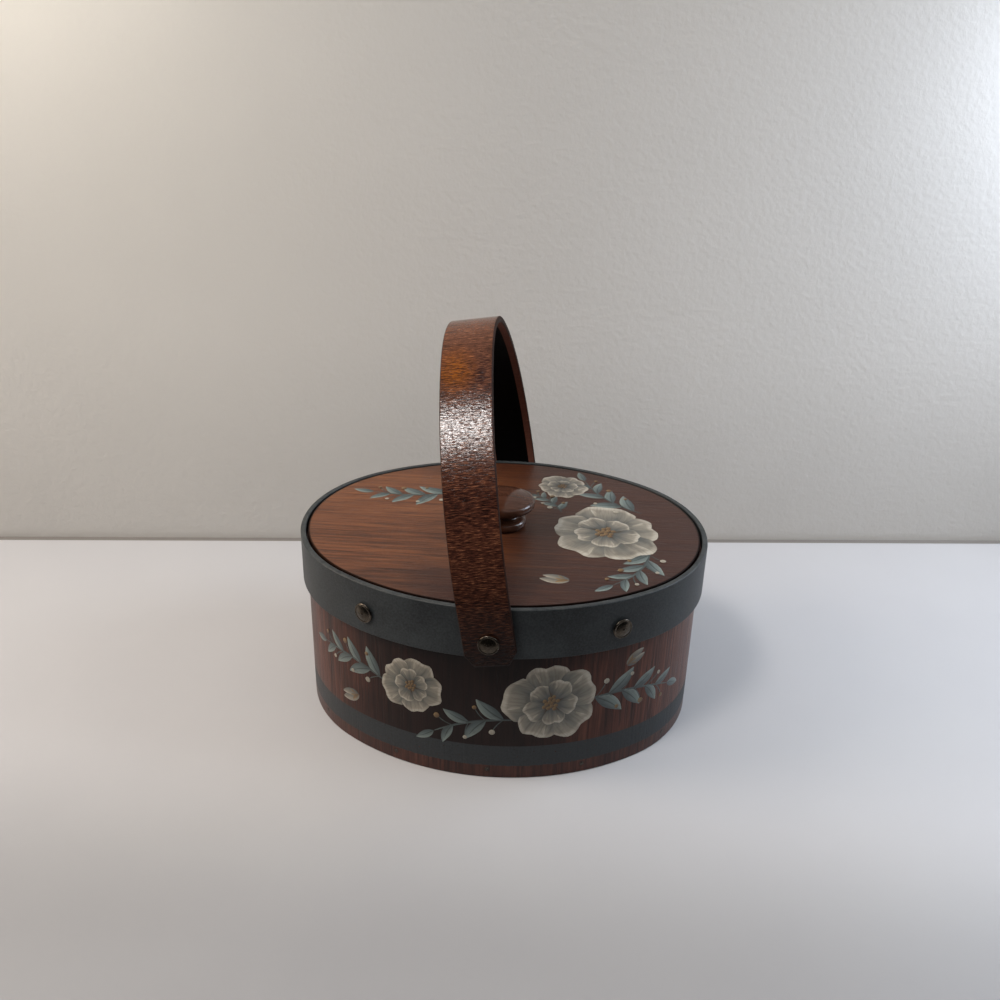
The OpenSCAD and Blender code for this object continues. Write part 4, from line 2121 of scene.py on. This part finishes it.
@dataclass(frozen=True)
class Lamp:
    """A soft light in a rectangle, with its sides across and towards the wall, and its spread in degrees."""

    name: str
    at: Triple
    aim: Triple
    size: Pair
    watts: float
    tint: Triple
    spread: float = 180.0

    def hang(self) -> None:
        """Makes the light and turns it to face its aim."""
        light = bpy.data.lights.new(self.name, "AREA")
        light.energy = self.watts
        light.shape = "RECTANGLE"
        light.color = self.tint
        light.size, light.size_y = self.size
        light.spread = math.radians(self.spread)
        made = bpy.data.objects.new(self.name, light)
        bpy.context.scene.collection.objects.link(made)
        back = np.subtract(self.at, self.aim)
        z = back / np.linalg.norm(back)
        x = np.cross((0, 1, 0), z)
        x /= np.linalg.norm(x)
        made.matrix_world = Matrix(np.stack([x, np.cross(z, x), z], 1).tolist()).to_4x4()
        made.location = self.at


LAMPS = (
    Lamp("lamp_over", (-0.6, -0.74, 1.55), (0, 0, 0.1), (0.25, 0.46), 12.1, (1.0, 0.96, 0.93)),
    Lamp("lamp_left", (-1.2, -0.05, 0.85), (0, 0, 0.1), (0.8, 0.8), 17.2, (1.0, 0.87, 0.73)),
    Lamp("lamp_right", (1.2, 0.12, 0.85), (0, 0, 0.1), (0.8, 0.8), 7.4, (0.79, 0.9, 1.0)),
    Lamp("lamp_end", (0.5, 0.15, 0.4), (0.12, 0, 0.08), (0.2, 0.2), 1.3, (0.74, 0.84, 1.0)),
    Lamp("lamp_corner", (-0.55, -0.15, 0.8), (-0.42, 0.16, 0.55), (0.2, 0.2), 0.33, (1.0, 0.94, 0.82), 50.0),
)


@dataclass
class Stage:
    """Table, wall behind, lights and camera.

    The table's edge is just out of view. Yaw, pitch and roll are the camera's, in degrees, and its focal
    length is in pixels of the photograph.
    """

    table_reach: float = 1.6
    table_front: float = -0.272
    table_low: float = -0.0002
    wall_y: float = 0.2061
    wall_turn: float = 6.37
    wall_reach: float = 2.2
    wall_top: float = 3.0
    # width and height of the strip of painted shadow on the table at the wall's foot
    shadow_width: float = 0.006
    shadow_low: float = -0.0001
    glow_strength: float = 1.08
    glow_angle: float = 100.0
    room_tint: Triple = (0.95, 0.97, 1.0)
    room_dim: float = 0.036
    room_pale: float = 0.42
    camera_at: Triple = (0.032823, -0.556295, 0.398404)
    yaw: float = 3.6555
    pitch: float = 25.3765
    roll: float = -1.4914
    focal_px: float = 991.69
    image_px: float = 1000.0
    sensor: float = 36.0
    clip_start: float = 0.01

    @staticmethod
    def sheet(name: str, corners: Sequence[Sequence[float]], material: Material) -> None:
        """A flat stage surface through four corners.

        Args:
            name: its name.
            corners: the corners in metres, anticlockwise from the side that is seen.
            material: its material.
        """
        mesh = bpy.data.meshes.new(name)
        mesh.from_pydata(list(corners), [], [(0, 1, 2, 3)])
        mesh.materials.append(material)
        made = bpy.data.objects.new(name, mesh)
        bpy.context.scene.collection.objects.link(made)

    @staticmethod
    def clear_behind(material: Material) -> None:
        """Makes a material clear on the back of its faces.

        Args:
            material: the material to change.
        """
        nodes, links = material.node_tree.nodes, material.node_tree.links
        facing = nodes.new("ShaderNodeNewGeometry").outputs["Backfacing"]
        clear = nodes.new("ShaderNodeBsdfTransparent").outputs[0]
        choose = nodes.new("ShaderNodeMixShader")
        for socket, source in zip(choose.inputs, (facing, nodes["Principled BSDF"].outputs[0], clear)):
            links.new(source, socket)
        links.new(choose.outputs[0], nodes["Material Output"].inputs["Surface"])

    def table(self) -> None:
        """The table top, with painted shade darkening it towards its front edge."""
        tones = ((179, 178, 180), (187, 186, 187))
        # painted shade: the table darkens towards its front, the side of the room in shade
        finish = PalePlaster("table_top", tones, 0.5, 0.00002, Fade(-0.09, -0.23, 0.38), Axis.Y)
        side, front, back, low = self.table_reach, self.table_front, 2 * self.table_reach, self.table_low
        corners = [(-side, front, low), (side, front, low), (side, back, low), (-side, back, low)]
        self.sheet("table", corners, finish.material())

    def wall(self) -> None:
        """The wall behind the table, which is seen from the front only, painted shade low on it, and painted
        shadow at its foot.
        """
        tones = ((216, 212, 206), (223, 219, 213))
        # painted shade: the wall darkens towards its foot
        plaster = PalePlaster("wall_plaster", tones, 0.8, 0.0004, Fade(0.2, 0.0, 0.22), Axis.Z).material()
        self.clear_behind(plaster)
        turn = math.radians(self.wall_turn)
        along = self.wall_reach * np.array([math.cos(turn), math.sin(turn)])
        left, right = (0, self.wall_y) - along, (0, self.wall_y) + along
        low, top = self.table_low, self.wall_top
        corners = [(*left, low), (*right, low), (*right, top), (*left, top)]
        self.sheet("wall_behind", corners, plaster)
        # painted shadow: a dark strip on the table along the wall's foot
        shadow_finish = PalePlaster("foot_shadow_paint", ((112, 107, 102), (122, 117, 112)), 0.8, 0.0002).material()
        near, low = (0, -self.shadow_width), self.shadow_low
        corners = [(*(left + near), low), (*(right + near), low), (*right, low), (*left, low)]
        self.sheet("foot_shadow_strip", corners, shadow_finish)

    def lights(self) -> None:
        """A broad glow from above, the lamps, and a room that is pale to the camera and dim to all else."""
        for lamp in LAMPS:
            lamp.hang()
        glow = bpy.data.lights.new("glow_above", "SUN")
        glow.energy = self.glow_strength
        glow.angle = math.radians(self.glow_angle)
        bpy.context.scene.collection.objects.link(bpy.data.objects.new("glow_above", glow))
        world = bpy.data.worlds.new("room")
        world.use_nodes = True
        tree = world.node_tree
        background = tree.nodes["Background"]
        background.inputs["Color"].default_value = (*self.room_tint, 1.0)
        level = tree.nodes.new("ShaderNodeMapRange")
        level.inputs["To Min"].default_value = self.room_dim
        level.inputs["To Max"].default_value = self.room_pale
        seen = tree.nodes.new("ShaderNodeLightPath").outputs["Is Camera Ray"]
        tree.links.new(seen, level.inputs["Value"])
        tree.links.new(level.outputs[0], background.inputs["Strength"])
        bpy.context.scene.world = world

    def camera(self) -> None:
        """The photograph's camera, turned, tilted and rolled about its view, with colours kept plain."""
        yaw, pitch, roll = np.radians([self.yaw, self.pitch, self.roll])
        ahead = np.array([-np.sin(yaw) * np.cos(pitch), np.cos(yaw) * np.cos(pitch), -np.sin(pitch)])
        right = np.array([np.cos(yaw), np.sin(yaw), 0.0])
        down = np.cross(ahead, right)
        x = np.cos(roll) * right + np.sin(roll) * down
        y = np.sin(roll) * right - np.cos(roll) * down
        data = bpy.data.cameras.new("photo_view")
        data.sensor_width = self.sensor
        data.lens = self.focal_px / self.image_px * self.sensor
        data.clip_start = self.clip_start
        made = bpy.data.objects.new("photo_view", data)
        bpy.context.scene.collection.objects.link(made)
        made.matrix_world = Matrix(np.stack([x, y, -ahead], 1).tolist()).to_4x4()
        made.location = self.camera_at
        bpy.context.scene.camera = made
        bpy.context.scene.view_settings.view_transform = "Standard"


def dress_nodes(nodes: dict[str, bpy.types.Object], finishes: dict[str, Material]) -> None:
    """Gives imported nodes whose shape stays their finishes.

    Args:
        nodes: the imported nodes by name.
        finishes: materials by node name.
    """
    for name, material in finishes.items():
        mesh = nodes[name].data
        mesh.materials.clear()
        mesh.materials.append(material)
        LOG.info("node %s: new finish", name)


def main() -> None:
    """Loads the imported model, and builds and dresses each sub-assembly."""
    logging.basicConfig(level=logging.INFO, format="%(message)s")
    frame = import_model()
    stage = Stage()
    stage.camera()
    stage.table()
    stage.wall()
    stage.lights()
    steel, brass = DullSteel().material(), AntiqueBrass().material()
    hinges = {joint["name"]: joint for joint in frame["joints"]}
    oval, handle_set = Oval.packed(), HandleSet.packed(hinges["handle_swing"])
    bucket = Bucket.packed(oval, handle_set)
    bucket.wall(WallWood().material())
    bucket.band(BandPaint().material())
    bucket.brads(steel)
    bucket.rivets(RivetForm(), brass)
    handle = Handle(handle_set)
    handle.strip(HandleWood(crown=round(handle.length / 2, 1) * MM).material())
    lid = Lid.packed(oval)
    lid.panel(LidWood().material())
    lid.knob(KnobWood().material())
    base = BaseWood().material()
    kept = {"base_panel": base, "band_rivet_burrs": brass, "handle_rivet_burrs": brass, "knob_screw": steel}
    dress_nodes(frame["nodes"], kept)
    paint = BrushPaint().material()
    paint_lid(lid.top, paint)
    paint_wall(oval, paint)


if __name__ == "__main__":
    main()
